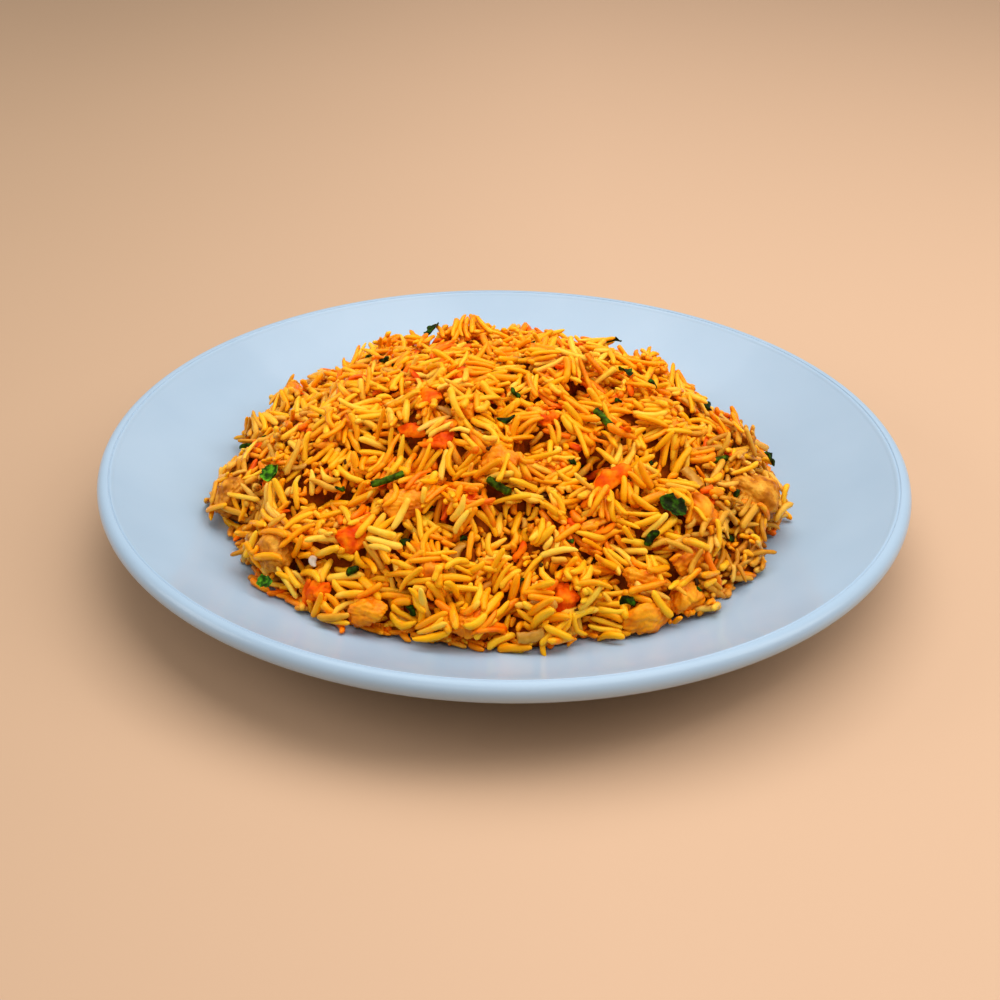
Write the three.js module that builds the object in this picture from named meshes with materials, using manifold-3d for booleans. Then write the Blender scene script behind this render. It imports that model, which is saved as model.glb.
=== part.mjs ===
// A plate of spiced chicken rice: a ceramic plate with a rolled lip, a domed heap of fried long-grain
// rice, and the chicken, tomato, onion and herbs that lie in it.
// Millimetres, +Z up. The origin is on the table, under the middle of the plate.
import * as THREE from "three";
import { ConvexHull } from "three/addons/math/ConvexHull.js";
import { mergeVertices } from "three/addons/utils/BufferGeometryUtils.js";
import Module from "manifold-3d";

// Driving dimensions
const PLATE = {
  radius: 135,
  height: 30,
  segments: 56,
  floorTop: 9,
  floorUnderside: 4,
  flatRadius: 55,
  creaseRadius: 129.5,
  creaseHeight: 29.05,
  curvePower: 2.4,
  wall: 4.3,
  lipRadius: 3.2,
  lipAngles: [-65, -15, 35, 85, 130],
  footOuter: 77,
  footInner: 71,
  footSlope: 1.8,
  underStations: [82, 94, 106, 117, 127],
  wellStations: [120, 108, 94, 74],
};
const HEAP = {
  centreX: -1.5,
  centreY: -1,
  radius: 96.5,
  height: 49,
  shoulderPower: 2.34,
  edgePower: 0.76,
  edgeWobble: 1.6,
  notchTurn: -0.6,
  notchDepth: 4,
  notchWidth: 0.13,
  lump: 1.7,
  skirt: 6,
  skirtPoints: 48,
};
// Broad hollows that the photograph's outline shows: degrees round, arc length, depth and breadth.
const HOLLOWS = [
  [138, 62, 4, 24],
  [150, 84, 3.5, 20],
  [57, 60, 2.4, 15],
  [28, 85, 3, 13],
  [95, 42, 1.6, 30],
  [-160, 100, 2, 18],
];
const GRAIN = { length: 10.6, radius: 1.15, sides: 6 };
const RIDGE = {
  count: 176,
  throws: 40000,
  apart: 3.9,
  shortest: 0.68,
  longest: 0.88,
  crest: 1.5,
  crestSpread: 0.7,
  slope: 0.8,
  droop: 0.2,
};
const FURROW = {
  lift: -0.5,
  aside: 1.35,
  clearOfRidge: 1.25,
  apart: 1.5,
  fillClearOfRidge: 3.4,
  fillApart: 5.4,
  fillThrows: 6000,
};
const LOOSE = { count: 24, throws: 3000, lift: 0.9, pitch: 0.42, edgeBand: 7, crowding: 0.6 };
const PIECE = { large: 17, middle: 10.8, squareness: 0.82 };
const GAP = 0.35;
const WELD_DISTANCE = 1e-4;
const TIDY_TOLERANCE = 0.05;

// Colours and finishes
const COLOUR = {
  glaze: 0xc5d6e7,
  rice: 0xd98a26,
  chicken: 0xdb9238,
  tomato: 0xd8561a,
  leaf: 0x2f4a1c,
  stalk: 0x4d6b2a,
  onion: 0xc79a4c,
};

const wasm = await Module();
wasm.setup();

/** Seeded random numbers in 0..1, the same on every run. */
function seededRandom(seed) {
  let state = seed;
  return () => {
    state = (state + 0x6d2b79f5) | 0;
    let mixed = Math.imul(state ^ (state >>> 15), 1 | state);
    mixed = (mixed + Math.imul(mixed ^ (mixed >>> 7), 61 | mixed)) ^ mixed;
    return ((mixed ^ (mixed >>> 14)) >>> 0) / 4294967296;
  };
}

/** Keeps only positions, merges shared vertices and drops triangles that have collapsed. */
function weld(geometry) {
  const bare = geometry.clone();
  for (const name of Object.keys(bare.attributes)) {
    if (name !== "position") bare.deleteAttribute(name);
  }
  const merged = mergeVertices(bare, WELD_DISTANCE);
  const corners = merged.index.array;
  const kept = [];
  for (let i = 0; i < corners.length; i += 3) {
    const [a, b, c] = [corners[i], corners[i + 1], corners[i + 2]];
    if (a !== b && b !== c && c !== a) kept.push(a, b, c);
  }
  merged.setIndex(kept);
  merged.computeVertexNormals();
  return merged;
}

/** A welded geometry, moved by a matrix, as a solid that can be joined and cut. */
function toSolid(geometry, matrix = new THREE.Matrix4()) {
  const placed = weld(geometry).applyMatrix4(matrix);
  const mesh = new wasm.Mesh({
    numProp: 3,
    vertProperties: new Float32Array(placed.attributes.position.array),
    triVerts: new Uint32Array(placed.index.array),
  });
  return new wasm.Manifold(mesh);
}

/** A solid back as a geometry. */
function toGeometry(solid) {
  const mesh = solid.getMesh();
  const geometry = new THREE.BufferGeometry();
  geometry.setAttribute("position", new THREE.BufferAttribute(mesh.vertProperties, 3));
  geometry.setIndex(new THREE.BufferAttribute(mesh.triVerts, 1));
  geometry.computeVertexNormals();
  return geometry;
}

/** Height of the plate's inner surface: flat in the middle, then a rising power curve to the crease. */
function plateHeight(radius) {
  const along = Math.max(0, (radius - PLATE.flatRadius) / (PLATE.creaseRadius - PLATE.flatRadius));
  return PLATE.floorTop + (PLATE.creaseHeight - PLATE.floorTop) * along ** PLATE.curvePower;
}

/** Turns a half profile about the upright axis. */
function lathe(profile) {
  const geometry = new THREE.LatheGeometry(profile, PLATE.segments);
  geometry.rotateX(Math.PI / 2);
  return weld(geometry);
}

/** The plate: foot ring, underside, rolled lip, crease and well, as one closed profile. */
function plateGeometry() {
  const point = (radius, height) => new THREE.Vector2(radius, height);
  const profile = [
    point(0, PLATE.floorUnderside),
    point(PLATE.footInner - PLATE.footSlope, PLATE.floorUnderside - 0.4),
    point(PLATE.footInner, 0),
    point(PLATE.footOuter, 0),
    point(PLATE.footOuter + PLATE.footSlope, PLATE.floorUnderside),
  ];
  for (const radius of PLATE.underStations) {
    profile.push(point(radius, plateHeight(radius) - PLATE.wall));
  }
  const lipX = PLATE.radius - PLATE.lipRadius;
  const lipZ = PLATE.height - PLATE.lipRadius;
  for (const degrees of PLATE.lipAngles) {
    const turn = THREE.MathUtils.degToRad(degrees);
    profile.push(point(lipX + PLATE.lipRadius * Math.cos(turn), lipZ + PLATE.lipRadius * Math.sin(turn)));
  }
  for (const radius of PLATE.wellStations) profile.push(point(radius, plateHeight(radius)));
  profile.push(point(0, PLATE.floorTop));
  return lathe(profile);
}

/** Everything at or under the plate's inner surface, with the gap that keeps the food clear of it. */
function plateEnvelope() {
  const point = (radius, height) => new THREE.Vector2(radius, height);
  const under = -HEAP.skirt;
  const profile = [point(0, under), point(PLATE.wellStations[0] + 1, under)];
  for (const radius of PLATE.wellStations) profile.push(point(radius, plateHeight(radius) + GAP));
  profile.push(point(0, PLATE.floorTop + GAP));
  return toSolid(lathe(profile));
}

/** Arc length from the top of the heap outwards, tabled against the share of its radius. */
function heapArc(steps = 400) {
  const table = [{ share: 0, arc: 0 }];
  let [lastX, lastZ, arc] = [0, HEAP.height, 0];
  for (let i = 1; i <= steps; i++) {
    const share = Math.sin((i / steps) * Math.PI / 2);
    const x = share * HEAP.radius;
    const z = heapRise(share) + plateHeight(x) - PLATE.floorTop;
    arc += Math.hypot(x - lastX, z - lastZ);
    table.push({ share, arc });
    [lastX, lastZ] = [x, z];
  }
  return table;
}

/** The heap's rise above the plate at a share of its radius: broad on top and steep at the edge. */
function heapRise(share) {
  return HEAP.height * Math.max(0, 1 - share ** HEAP.shoulderPower) ** HEAP.edgePower;
}

const ARC_TABLE = heapArc();
const HEAP_ARC = ARC_TABLE[ARC_TABLE.length - 1].arc;

/** Share of the heap's radius at an arc length from the top. */
function shareAt(arc) {
  if (arc >= HEAP_ARC) return 1;
  let high = ARC_TABLE.findIndex((row) => row.arc > arc);
  high = Math.max(1, high);
  const [from, to] = [ARC_TABLE[high - 1], ARC_TABLE[high]];
  return from.share + ((to.share - from.share) * (arc - from.arc)) / (to.arc - from.arc);
}

/** Low mounds as long as a few grains, from crossed waves, less the broad hollows. */
function lumpAt(u, v) {
  const waves = Math.sin(u / 9 + 0.4) * Math.cos(v / 11 - 0.8) + 0.7 * Math.sin((u + v) / 6.5 + 2.1);
  let lump = (HEAP.lump * waves) / 1.7;
  for (const [degrees, arc, depth, size] of HOLLOWS) {
    const turn = THREE.MathUtils.degToRad(degrees);
    const away = Math.hypot(u - arc * Math.cos(turn), v - arc * Math.sin(turn));
    lump -= depth * Math.exp(-((away / size) ** 2));
  }
  return lump;
}

/** The heap's radius at an angle: near round, with the slow and quick waver of a spooned edge. */
function edgeRadius(turn) {
  return HEAP.radius + HEAP.edgeWobble * (Math.sin(3 * turn + 2.4) + 0.6 * Math.sin(8 * turn + 0.9));
}

/** How far the base is pulled in at an angle by the notch at the front right. */
function notchAt(turn) {
  return HEAP.notchDepth * Math.exp(-(((turn - HEAP.notchTurn) / HEAP.notchWidth) ** 2));
}

/** A point of the heap's skin, where u and v are arc lengths from the top on the skin laid flat. */
function skinPoint(u, v) {
  const arc = Math.hypot(u, v);
  const turn = Math.atan2(v, u);
  const share = shareAt(arc);
  const radius = share * (edgeRadius(turn) - notchAt(turn) * share ** 6);
  const lump = lumpAt(u, v) * (1 - share ** 6);
  const belowEdge = Math.max(0, arc - HEAP_ARC);
  const z = plateHeight(radius) + heapRise(share) + lump - belowEdge;
  return new THREE.Vector3(
    HEAP.centreX + radius * Math.cos(turn),
    HEAP.centreY + radius * Math.sin(turn),
    z,
  );
}

/** The frame at a point of the skin: x runs round the heap, y runs up it and z points out of it. */
function skinFrame(u, v) {
  const step = 1.5;
  const origin = skinPoint(u, v);
  const alongU = skinPoint(u + step, v).sub(skinPoint(u - step, v));
  const alongV = skinPoint(u, v + step).sub(skinPoint(u, v - step));
  const out = alongU.cross(alongV).normalize();
  const turn = Math.atan2(v, u);
  const round = new THREE.Vector3(-Math.sin(turn), Math.cos(turn), 0);
  round.addScaledVector(out, -round.dot(out)).normalize();
  const up = out.clone().cross(round);
  return { origin, out, basis: new THREE.Matrix4().makeBasis(round, up, out) };
}

/** Shortest distance between a point and a segment in the skin laid flat. */
function pointToSegment(u, v, segment) {
  const along = (u - segment.u) * segment.dirU + (v - segment.v) * segment.dirV;
  const clamped = THREE.MathUtils.clamp(along, -segment.half, segment.half);
  return Math.hypot(u - segment.u - clamped * segment.dirU, v - segment.v - clamped * segment.dirV);
}

/** Shortest distance between two segments that don't cross, from the four ends and the middles. */
function segmentDistance(first, second) {
  let nearest = Infinity;
  for (const share of [-1, -0.5, 0, 0.5, 1]) {
    const [a, b] = [share * first.half, share * second.half];
    nearest = Math.min(
      nearest,
      pointToSegment(first.u + a * first.dirU, first.v + a * first.dirV, second),
      pointToSegment(second.u + b * second.dirU, second.v + b * second.dirV, first),
    );
  }
  return nearest;
}

/** A place thrown at random on the skin laid flat, as likely everywhere out to an arc length. */
function throwPlace(random, reach) {
  const arc = Math.sqrt(random()) * reach;
  const turn = random() * 2 * Math.PI;
  return { u: arc * Math.cos(turn), v: arc * Math.sin(turn) };
}

/** Grain-long ridges thrown over the skin, each kept where it clears the ones before it. */
function scatterRidges(random) {
  const ridges = [];
  for (let i = 0; i < RIDGE.throws && ridges.length < RIDGE.count; i++) {
    const turn = random() * Math.PI;
    const length = GRAIN.length * THREE.MathUtils.lerp(RIDGE.shortest, RIDGE.longest, random());
    const ridge = {
      ...throwPlace(random, HEAP_ARC - 1),
      dirU: Math.cos(turn),
      dirV: Math.sin(turn),
      half: length / 2,
      crest: RIDGE.crest + RIDGE.crestSpread * (random() - 0.5),
      slope: RIDGE.slope * (random() - 0.5),
    };
    if (ridges.every((other) => segmentDistance(ridge, other) > RIDGE.apart)) ridges.push(ridge);
  }
  return ridges;
}

/** The point of the skin laid flat that is so far along a ridge and so far to its side. */
function besideRidge(ridge, along, aside) {
  return {
    u: ridge.u + along * ridge.dirU - aside * ridge.dirV,
    v: ridge.v + along * ridge.dirV + aside * ridge.dirU,
  };
}

/** Points at the foot of each ridge, then in the open furrows wherever a bare spot is left. */
function scatterFurrows(ridges, random) {
  const furrows = [];
  const offer = ({ u, v }, clearOfRidge, apart) => {
    if (Math.hypot(u, v) > HEAP_ARC + 1) return;
    if (ridges.some((ridge) => pointToSegment(u, v, ridge) < clearOfRidge)) return;
    if (furrows.some((other) => Math.hypot(u - other.u, v - other.v) < apart)) return;
    furrows.push({ u, v, lift: FURROW.lift * (0.6 + 0.8 * random()) });
  };
  for (const ridge of ridges) {
    for (const along of [0, 0.9, -0.9]) {
      for (const side of [-1, 1]) {
        const foot = besideRidge(ridge, along * ridge.half, side * FURROW.aside);
        offer(foot, FURROW.clearOfRidge, FURROW.apart);
      }
    }
    for (const end of [-1, 1]) {
      const foot = besideRidge(ridge, end * (ridge.half + FURROW.aside), 0);
      offer(foot, FURROW.clearOfRidge, FURROW.apart);
    }
  }
  for (let i = 0; i < FURROW.fillThrows; i++) {
    offer(throwPlace(random, HEAP_ARC), FURROW.fillClearOfRidge, FURROW.fillApart);
  }
  return furrows;
}

/** Triangles between flat points: the underside of their hull once each is lifted onto a paraboloid. */
function triangulate(points) {
  const lifted = points.map(({ u, v }) => new THREE.Vector3(u, v, (u * u + v * v) / HEAP_ARC));
  const numberOf = new Map(lifted.map((point, i) => [point, i]));
  const triangles = [];
  for (const face of new ConvexHull().setFromPoints(lifted).faces) {
    const corners = [2, 1, 0].map((i) => numberOf.get(face.getEdge(i).head().point));
    if (face.normal.z < 0) triangles.push(corners);
  }
  return triangles;
}

/** The heap's core: a domed skin with ridges as long and wide as grains, closed by a fan underneath. */
function coreGeometry() {
  const random = seededRandom(11);
  const ridges = scatterRidges(random);
  const points = [];
  for (const ridge of ridges) {
    for (const end of [-1, 0, 1]) {
      const lift = ridge.crest + end * ridge.slope - RIDGE.droop * Math.abs(end);
      points.push({ ...besideRidge(ridge, end * ridge.half, 0), lift });
    }
  }
  points.push(...scatterFurrows(ridges, random));
  const skirtStart = points.length;
  const skirtArc = HEAP_ARC + HEAP.skirt;
  for (let i = 0; i < HEAP.skirtPoints; i++) {
    const turn = (i / HEAP.skirtPoints) * 2 * Math.PI;
    points.push({ u: skirtArc * Math.cos(turn), v: skirtArc * Math.sin(turn), lift: 0 });
  }
  const triangles = triangulate(points);
  const positions = [];
  for (const { u, v, lift } of points) {
    const { origin, out } = skinFrame(u, v);
    positions.push(...origin.addScaledVector(out, lift).toArray());
  }
  positions.push(HEAP.centreX, HEAP.centreY, PLATE.floorTop - HEAP.skirt);
  for (let i = 0; i < HEAP.skirtPoints; i++) {
    const next = (i + 1) % HEAP.skirtPoints;
    triangles.push([points.length, skirtStart + next, skirtStart + i]);
  }
  const geometry = new THREE.BufferGeometry();
  geometry.setAttribute("position", new THREE.Float32BufferAttribute(positions, 3));
  geometry.setIndex(triangles.flat());
  return geometry;
}

/** One grain of rice along y: a six-sided spindle with pointed ends. */
function grainGeometry(length, radius) {
  const profile = [
    new THREE.Vector2(0, -length / 2),
    new THREE.Vector2(radius, -length * 0.27),
    new THREE.Vector2(radius * 0.96, length * 0.27),
    new THREE.Vector2(0, length / 2),
  ];
  return new THREE.LatheGeometry(profile, GRAIN.sides);
}

/** A ball with more facets the larger the piece that it becomes. */
function facetedBall(size) {
  if (size > PIECE.large) return new THREE.IcosahedronGeometry(1, 2);
  if (size > PIECE.middle) return new THREE.IcosahedronGeometry(1, 1);
  return new THREE.OctahedronGeometry(1, 1);
}

/** A chunk of chicken or tomato: a squarish ball of its size, its corners pulled in and out by waves. */
function chunkGeometry([length, width, depth], seed, rough) {
  const geometry = weld(facetedBall(Math.max(length, width)));
  const place = geometry.attributes.position;
  const point = new THREE.Vector3();
  for (let i = 0; i < place.count; i++) {
    point.fromBufferAttribute(place, i);
    const wave = Math.sin(5.1 * point.x + seed) + Math.sin(5.7 * point.y + 2.3 * seed)
      + Math.sin(4.9 * point.z - 1.7 * seed);
    const reach = 1 + rough * wave;
    const [x, y, z] = point.toArray().map((side) => Math.sign(side) * Math.abs(side) ** PIECE.squareness);
    place.setXYZ(i, (reach * x * length) / 2, (reach * y * width) / 2, (reach * z * depth) / 2);
  }
  return geometry;
}

/** A herb leaf: a pointed outline given a thickness, then both faces bent by the same curl and wave. */
function leafGeometry([length, width, depth], seed) {
  const outline = new THREE.Shape();
  outline.moveTo(-length / 2, 0);
  outline.quadraticCurveTo(-length / 6, -width * 0.95, length / 2, 0);
  outline.quadraticCurveTo(-length / 6, width * 0.95, -length / 2, 0);
  const options = { depth, bevelEnabled: false, curveSegments: 5 };
  const geometry = weld(new THREE.ExtrudeGeometry(outline, options));
  const place = geometry.attributes.position;
  for (let i = 0; i < place.count; i++) {
    const [x, y] = [place.getX(i), place.getY(i)];
    const curl = (2.2 * y * y) / width + 0.35 * Math.sin((4 * x) / length + seed);
    place.setZ(i, place.getZ(i) + curl);
  }
  return geometry;
}

/** A cut of stalk or an onion shred: a short rod of oval section, bent along its length. */
function rodGeometry([length, width, depth], bend) {
  const section = new THREE.CylinderGeometry(width / 2, width / 2, length, 6, 2);
  section.rotateZ(Math.PI / 2);
  section.scale(1, 1, depth / width);
  const place = section.attributes.position;
  for (let i = 0; i < place.count; i++) {
    const along = place.getX(i) / length;
    place.setY(i, place.getY(i) + bend * length * along * along);
  }
  return weld(section);
}

// Where each piece lies: degrees round the heap (0 to the right, -90 to the front), arc length down from
// the top, [length round the heap, width up it, depth], turn in degrees and how far its middle stands out.
const CHICKEN = [
  [-18, 94, [18, 18, 12], 20, 0.5],
  [-38, 84, [11, 16, 8], -8, 1.2],
  [-61.5, 105.5, [15, 9.5, 8], 12, 1.4],
  [-114, 103.5, [12, 9, 7], 5, 1.2],
  [-59.5, 96, [11, 8.5, 7], -20, 1],
  [-52.3, 103.3, [10.5, 9.5, 7], 30, 1],
  [-48.3, 94, [10.5, 8.5, 7], 0, 1],
  [-164, 100, [10.5, 12.5, 7.5], 10, 1.2],
  [-139, 97, [16.5, 13, 9], -15, 1],
  [-91, 48.5, [12, 8.5, 5.5], -10, 0.8],
  [-116, 69, [12, 10.5, 6.5], 15, 1],
  [-19, 59, [9, 7, 5], 20, 0.8],
  [1, 86, [6.5, 9.5, 5], 0, 1.3],
  [-158, 53, [9, 7.5, 5], 0, 0.8],
  [23, 25, [11, 8.5, 3.5], 15, 0.6],
  [-112, 29, [6, 8, 4.5], 0, 0.8],
  [-103, 90, [7.5, 11, 6], 5, 1.2],
  [-95, 103, [9, 6.5, 5], 5, 1.4],
  [33, 69, [15, 9, 5], -15, 0.8],
  [150, 98, [13, 11, 7], 20, 1],
  [118, 97, [14, 11, 8], -10, 1],
  [84, 90, [12, 10, 7], 35, 1],
  [62, 99, [13, 10, 7], 0, 1],
];
const TOMATO = [
  [-123, 84, [10, 9, 4.5], 10, 1],
  [-115, 43, [5.5, 8, 3.5], 0, 0.8],
  [-131, 42, [10, 5, 3.2], 10, 0.8],
  [-141, 29, [10, 7, 3.2], -10, 0.7],
  [178, 14, [7.5, 7.5, 3.2], 0, 0.7],
  [-98, 64, [5, 9.5, 3.2], -5, 0.9],
  [-53, 61, [12, 7, 4], 12, 0.8],
  [-77, 96, [8.5, 10.5, 6], 0, 1],
  [-61, 32, [6, 6, 3.4], 0, 0.8],
  [-124.5, 101.5, [6, 6.5, 4.5], 0, 1],
  [104, 60, [9, 6, 4], 25, 0.8],
  [138, 104, [8, 7, 5], 0, 1],
];
const LEAF = [
  [-155, 82.5, [8, 7, 0.7], 35, 1.5],
  [-46, 78, [9.5, 7.5, 0.8], 115, 1.4],
  [116, 56, [8, 5, 0.7], 20, 1.9],
  [50, 62, [7, 4.5, 0.7], 0, 1.9],
  [8, 40, [7, 4.5, 0.7], 15, 1.5],
  [-4, 93.5, [6, 4.5, 0.7], 80, 2.2],
  [-134, 106, [6.5, 4, 0.7], 20, 3.2],
  [72, 97, [8, 5.5, 0.7], 60, 1.6],
];
const STALK = [
  [-40, 43, [12.5, 2.8, 2.4], -103, 0.9],
  [-90, 58.5, [8.5, 2.7, 2.2], -38, 0.7],
  [-123, 63, [10.5, 2.5, 1.8], 48, 0.6],
  [-16, 77, [9, 2.4, 1.8], -30, 0.8],
  [130, 74, [10, 2.6, 2.2], 10, 0.8],
];
const ONION = [
  [-31, 73.2, [8, 4.6, 2], 80, 0.7],
  [-84, 106, [8, 4, 2.4], 8, 1.4],
  [164, 96, [9, 4.6, 2.4], 30, 1.1],
];
// Flecks of herb and spice fused to the rice: degrees round, arc length, [length, width, depth], turn.
const FLECK = [
  [178, 95, [4.5, 3, 1.6], 60],
  [145, 50, [5, 3, 1.6], 0],
  [108, 31, [4, 2.4, 1.4], 10],
  [-54, 84, [3, 6, 1.6], 0],
  [3, 49, [3.6, 2.6, 1.4], 0],
  [-25, 84, [4.2, 3.2, 1.4], 0],
  [-73, 16, [3, 3.4, 1.4], 0],
  [-87, 29, [6, 2.6, 1.4], -10],
  [-112, 80, [3.6, 2.8, 1.4], 20],
  [-138, 70, [3.4, 2.4, 1.4], 0],
  [-120, 93, [3, 4, 1.4], 0],
  [-106, 101, [3.4, 2.6, 1.6], 0],
  [-65, 101, [3, 5, 1.6], 10],
  [16, 79, [3, 5, 1.8], 0],
  [98, 70, [4, 3, 1.6], 0],
  [-128, 94, [3, 3, 1.8], 0],
];

/** A mesh that lies on the skin at its angle and arc length, turned about the outward direction. */
function layOnSkin(name, geometry, [degrees, arc, , turn, standOut], material) {
  const place = THREE.MathUtils.degToRad(degrees);
  const { origin, out, basis } = skinFrame(arc * Math.cos(place), arc * Math.sin(place));
  const spin = new THREE.Matrix4().makeRotationZ(THREE.MathUtils.degToRad(turn));
  const mesh = new THREE.Mesh(geometry, material);
  mesh.name = name;
  mesh.position.copy(origin.addScaledVector(out, standOut));
  mesh.quaternion.setFromRotationMatrix(basis.multiply(spin));
  mesh.updateMatrix();
  return mesh;
}

/** The meshes of one kind of piece, numbered from 1. */
function layAll(kind, rows, makeGeometry, material) {
  return rows.map((row, i) => layOnSkin(`${kind}_${i + 1}`, makeGeometry(row, i), row, material));
}

/** The pocket that a piece lies in: its own form, grown all round by the gap. */
function pocketOf(mesh) {
  const grown = weld(mesh.geometry);
  const place = grown.attributes.position;
  const normal = grown.attributes.normal;
  for (let i = 0; i < place.count; i++) {
    place.setXYZ(
      i,
      place.getX(i) + GAP * normal.getX(i),
      place.getY(i) + GAP * normal.getY(i),
      place.getZ(i) + GAP * normal.getZ(i),
    );
  }
  return toSolid(grown, mesh.matrix);
}

/** Whole grains that lie proud of the core, thrown evenly over it and clear of the pieces in it. */
function looseGrains(pieces) {
  const random = seededRandom(29);
  const half = GRAIN.length / 2;
  const grains = [];
  const taken = pieces.map((mesh) => {
    mesh.geometry.computeBoundingSphere();
    return { centre: mesh.position, reach: mesh.geometry.boundingSphere.radius + half + GAP };
  });
  for (let i = 0; i < LOOSE.throws && grains.length < LOOSE.count; i++) {
    const atEdge = grains.length % 3 === 0;
    const { u, v } = throwPlace(random, HEAP_ARC - LOOSE.edgeBand);
    const outward = atEdge ? (HEAP_ARC - LOOSE.edgeBand) / Math.hypot(u, v) : 1;
    const { origin, out, basis } = skinFrame(outward * u, outward * v);
    const centre = origin.addScaledVector(out, LOOSE.lift);
    const lie = new THREE.Matrix4().makeRotationZ(random() * 2 * Math.PI);
    lie.multiply(new THREE.Matrix4().makeRotationX(LOOSE.pitch * (2 * random() - 1)));
    if (taken.some((other) => other.centre.distanceTo(centre) < other.reach)) continue;
    const matrix = basis.multiply(lie).setPosition(centre);
    grains.push(toSolid(grainGeometry(GRAIN.length, GRAIN.radius), matrix));
    taken.push({ centre, reach: GRAIN.length * LOOSE.crowding });
  }
  return grains;
}

/** A small fleck of herb or spice, half sunk in the rice. */
function fleckSolid(row) {
  const [length, width, depth] = row[2];
  const flake = new THREE.OctahedronGeometry(0.5).scale(length, width, depth);
  const mesh = layOnSkin("fleck", flake, [...row, LOOSE.lift]);
  return toSolid(mesh.geometry, mesh.matrix);
}

/** The rice: core, loose grains and flecks in one, with a pocket for each piece and fitted to the plate. */
function heapGeometry(pieces) {
  const flecks = FLECK.map(fleckSolid);
  const joined = wasm.Manifold.union([toSolid(coreGeometry()), ...looseGrains(pieces), ...flecks]);
  const cutters = [...pieces.map(pocketOf), plateEnvelope()];
  const cut = joined.subtract(wasm.Manifold.union(cutters)).simplify(TIDY_TOLERANCE);
  const bodies = cut.decompose().sort((a, b) => b.volume() - a.volume());
  return toGeometry(bodies[0]);
}

/** A finish of the given colour and roughness. */
function finish(colour, roughness) {
  return new THREE.MeshStandardMaterial({ color: colour, roughness, metalness: 0 });
}

const plate = new THREE.Mesh(plateGeometry(), finish(COLOUR.glaze, 0.18));
plate.name = "plate";

const chunk = (rough) => (row, i) => chunkGeometry(row[2], i + 1, rough);
const leaf = (row, i) => leafGeometry(row[2], i);
const rod = (bend) => (row) => rodGeometry(row[2], bend);
const pieces = [
  ...layAll("chicken", CHICKEN, chunk(0.075), finish(COLOUR.chicken, 0.55)),
  ...layAll("tomato", TOMATO, chunk(0.06), finish(COLOUR.tomato, 0.35)),
  ...layAll("herb_leaf", LEAF, leaf, finish(COLOUR.leaf, 0.5)),
  ...layAll("herb_stalk", STALK, rod(0.12), finish(COLOUR.stalk, 0.5)),
  ...layAll("onion", ONION, rod(0.3), finish(COLOUR.onion, 0.3)),
];

const rice = new THREE.Mesh(heapGeometry(pieces), finish(COLOUR.rice, 0.5));
rice.name = "rice_heap";

const food = new THREE.Group();
food.add(rice, ...pieces);
const plateOfRice = new THREE.Group();
plateOfRice.add(plate, food);

export default plateOfRice;
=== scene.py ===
"""A plate of spiced chicken rice: the glazed plate, the heap of fried long-grain rice and what lies in it.

Every new piece is a surface worked out with numpy in millimetres and written to its mesh in metres.
"""
import logging
import math
from dataclasses import dataclass, field
from enum import Enum

import bpy
import numpy as np
from mathutils import Matrix, Vector


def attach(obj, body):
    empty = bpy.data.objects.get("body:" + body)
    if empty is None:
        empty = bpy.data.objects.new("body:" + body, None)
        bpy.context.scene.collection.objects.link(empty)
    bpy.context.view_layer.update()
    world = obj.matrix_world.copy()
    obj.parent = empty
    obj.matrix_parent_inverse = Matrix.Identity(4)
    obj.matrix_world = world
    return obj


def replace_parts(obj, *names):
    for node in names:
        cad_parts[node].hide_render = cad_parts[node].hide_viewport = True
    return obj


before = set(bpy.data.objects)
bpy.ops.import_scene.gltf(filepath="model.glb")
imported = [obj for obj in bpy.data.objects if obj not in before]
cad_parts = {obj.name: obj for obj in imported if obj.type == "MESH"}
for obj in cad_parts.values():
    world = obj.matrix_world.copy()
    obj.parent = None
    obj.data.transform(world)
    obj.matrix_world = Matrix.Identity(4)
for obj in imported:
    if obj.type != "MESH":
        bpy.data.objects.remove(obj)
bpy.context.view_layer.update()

LOG = logging.getLogger("plate_of_rice")
MM = 0.001
WAVE_COUNT = 5
GOLDEN_ANGLE = 2.399
SEED_TURN, SEED_SHIFT = 1.7, 3.1

Array = np.ndarray
Colour = tuple[float, float, float]


class Slot(Enum):
    """The record's material slots."""

    GLAZE = "glaze"
    RICE = "rice"
    CHICKEN = "chicken"
    TOMATO = "tomato"
    HERB = "herb"
    ONION = "onion"


def unit(vectors: Array) -> Array:
    """Each vector divided by its length."""
    return vectors / np.maximum(np.linalg.norm(vectors, axis=-1, keepdims=True), 1e-9)


def linear(red: int, green: int, blue: int) -> Colour:
    """A screen colour of 0 to 255 as linear light: ((c + 0.055) / 1.055) to the power 2.4."""
    share = np.array([red, green, blue]) / 255.0
    light = np.where(share <= 0.04045, share / 12.92, ((share + 0.055) / 1.055) ** 2.4)
    return tuple(float(part) for part in light)


def waves(places: Array, seed: float, size: float, spread: float = 0.37) -> Array:
    """Smooth noise of about -1 to 1: the mean of five sine waves that cross at odd angles.

    Args:
        places: Points, in millimetres, in an array whose last axis is x, y, z.
        seed: A number that shifts and turns the waves.
        size: Millimetres from crest to crest of the longest wave.
        spread: How much quicker each wave is than the one before, as a share of the first.

    Returns:
        One number for each point.
    """
    total = np.zeros(places.shape[:-1])
    for number in range(WAVE_COUNT):
        angle = seed * SEED_TURN + number * GOLDEN_ANGLE
        heading = np.array([math.cos(angle), math.sin(angle), math.cos(angle * 1.9 + 0.6)])
        reach = 2 * math.pi / size * (1 + spread * number)
        total += np.sin(places @ heading * reach + seed * SEED_SHIFT + number)
    return total / WAVE_COUNT


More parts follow.
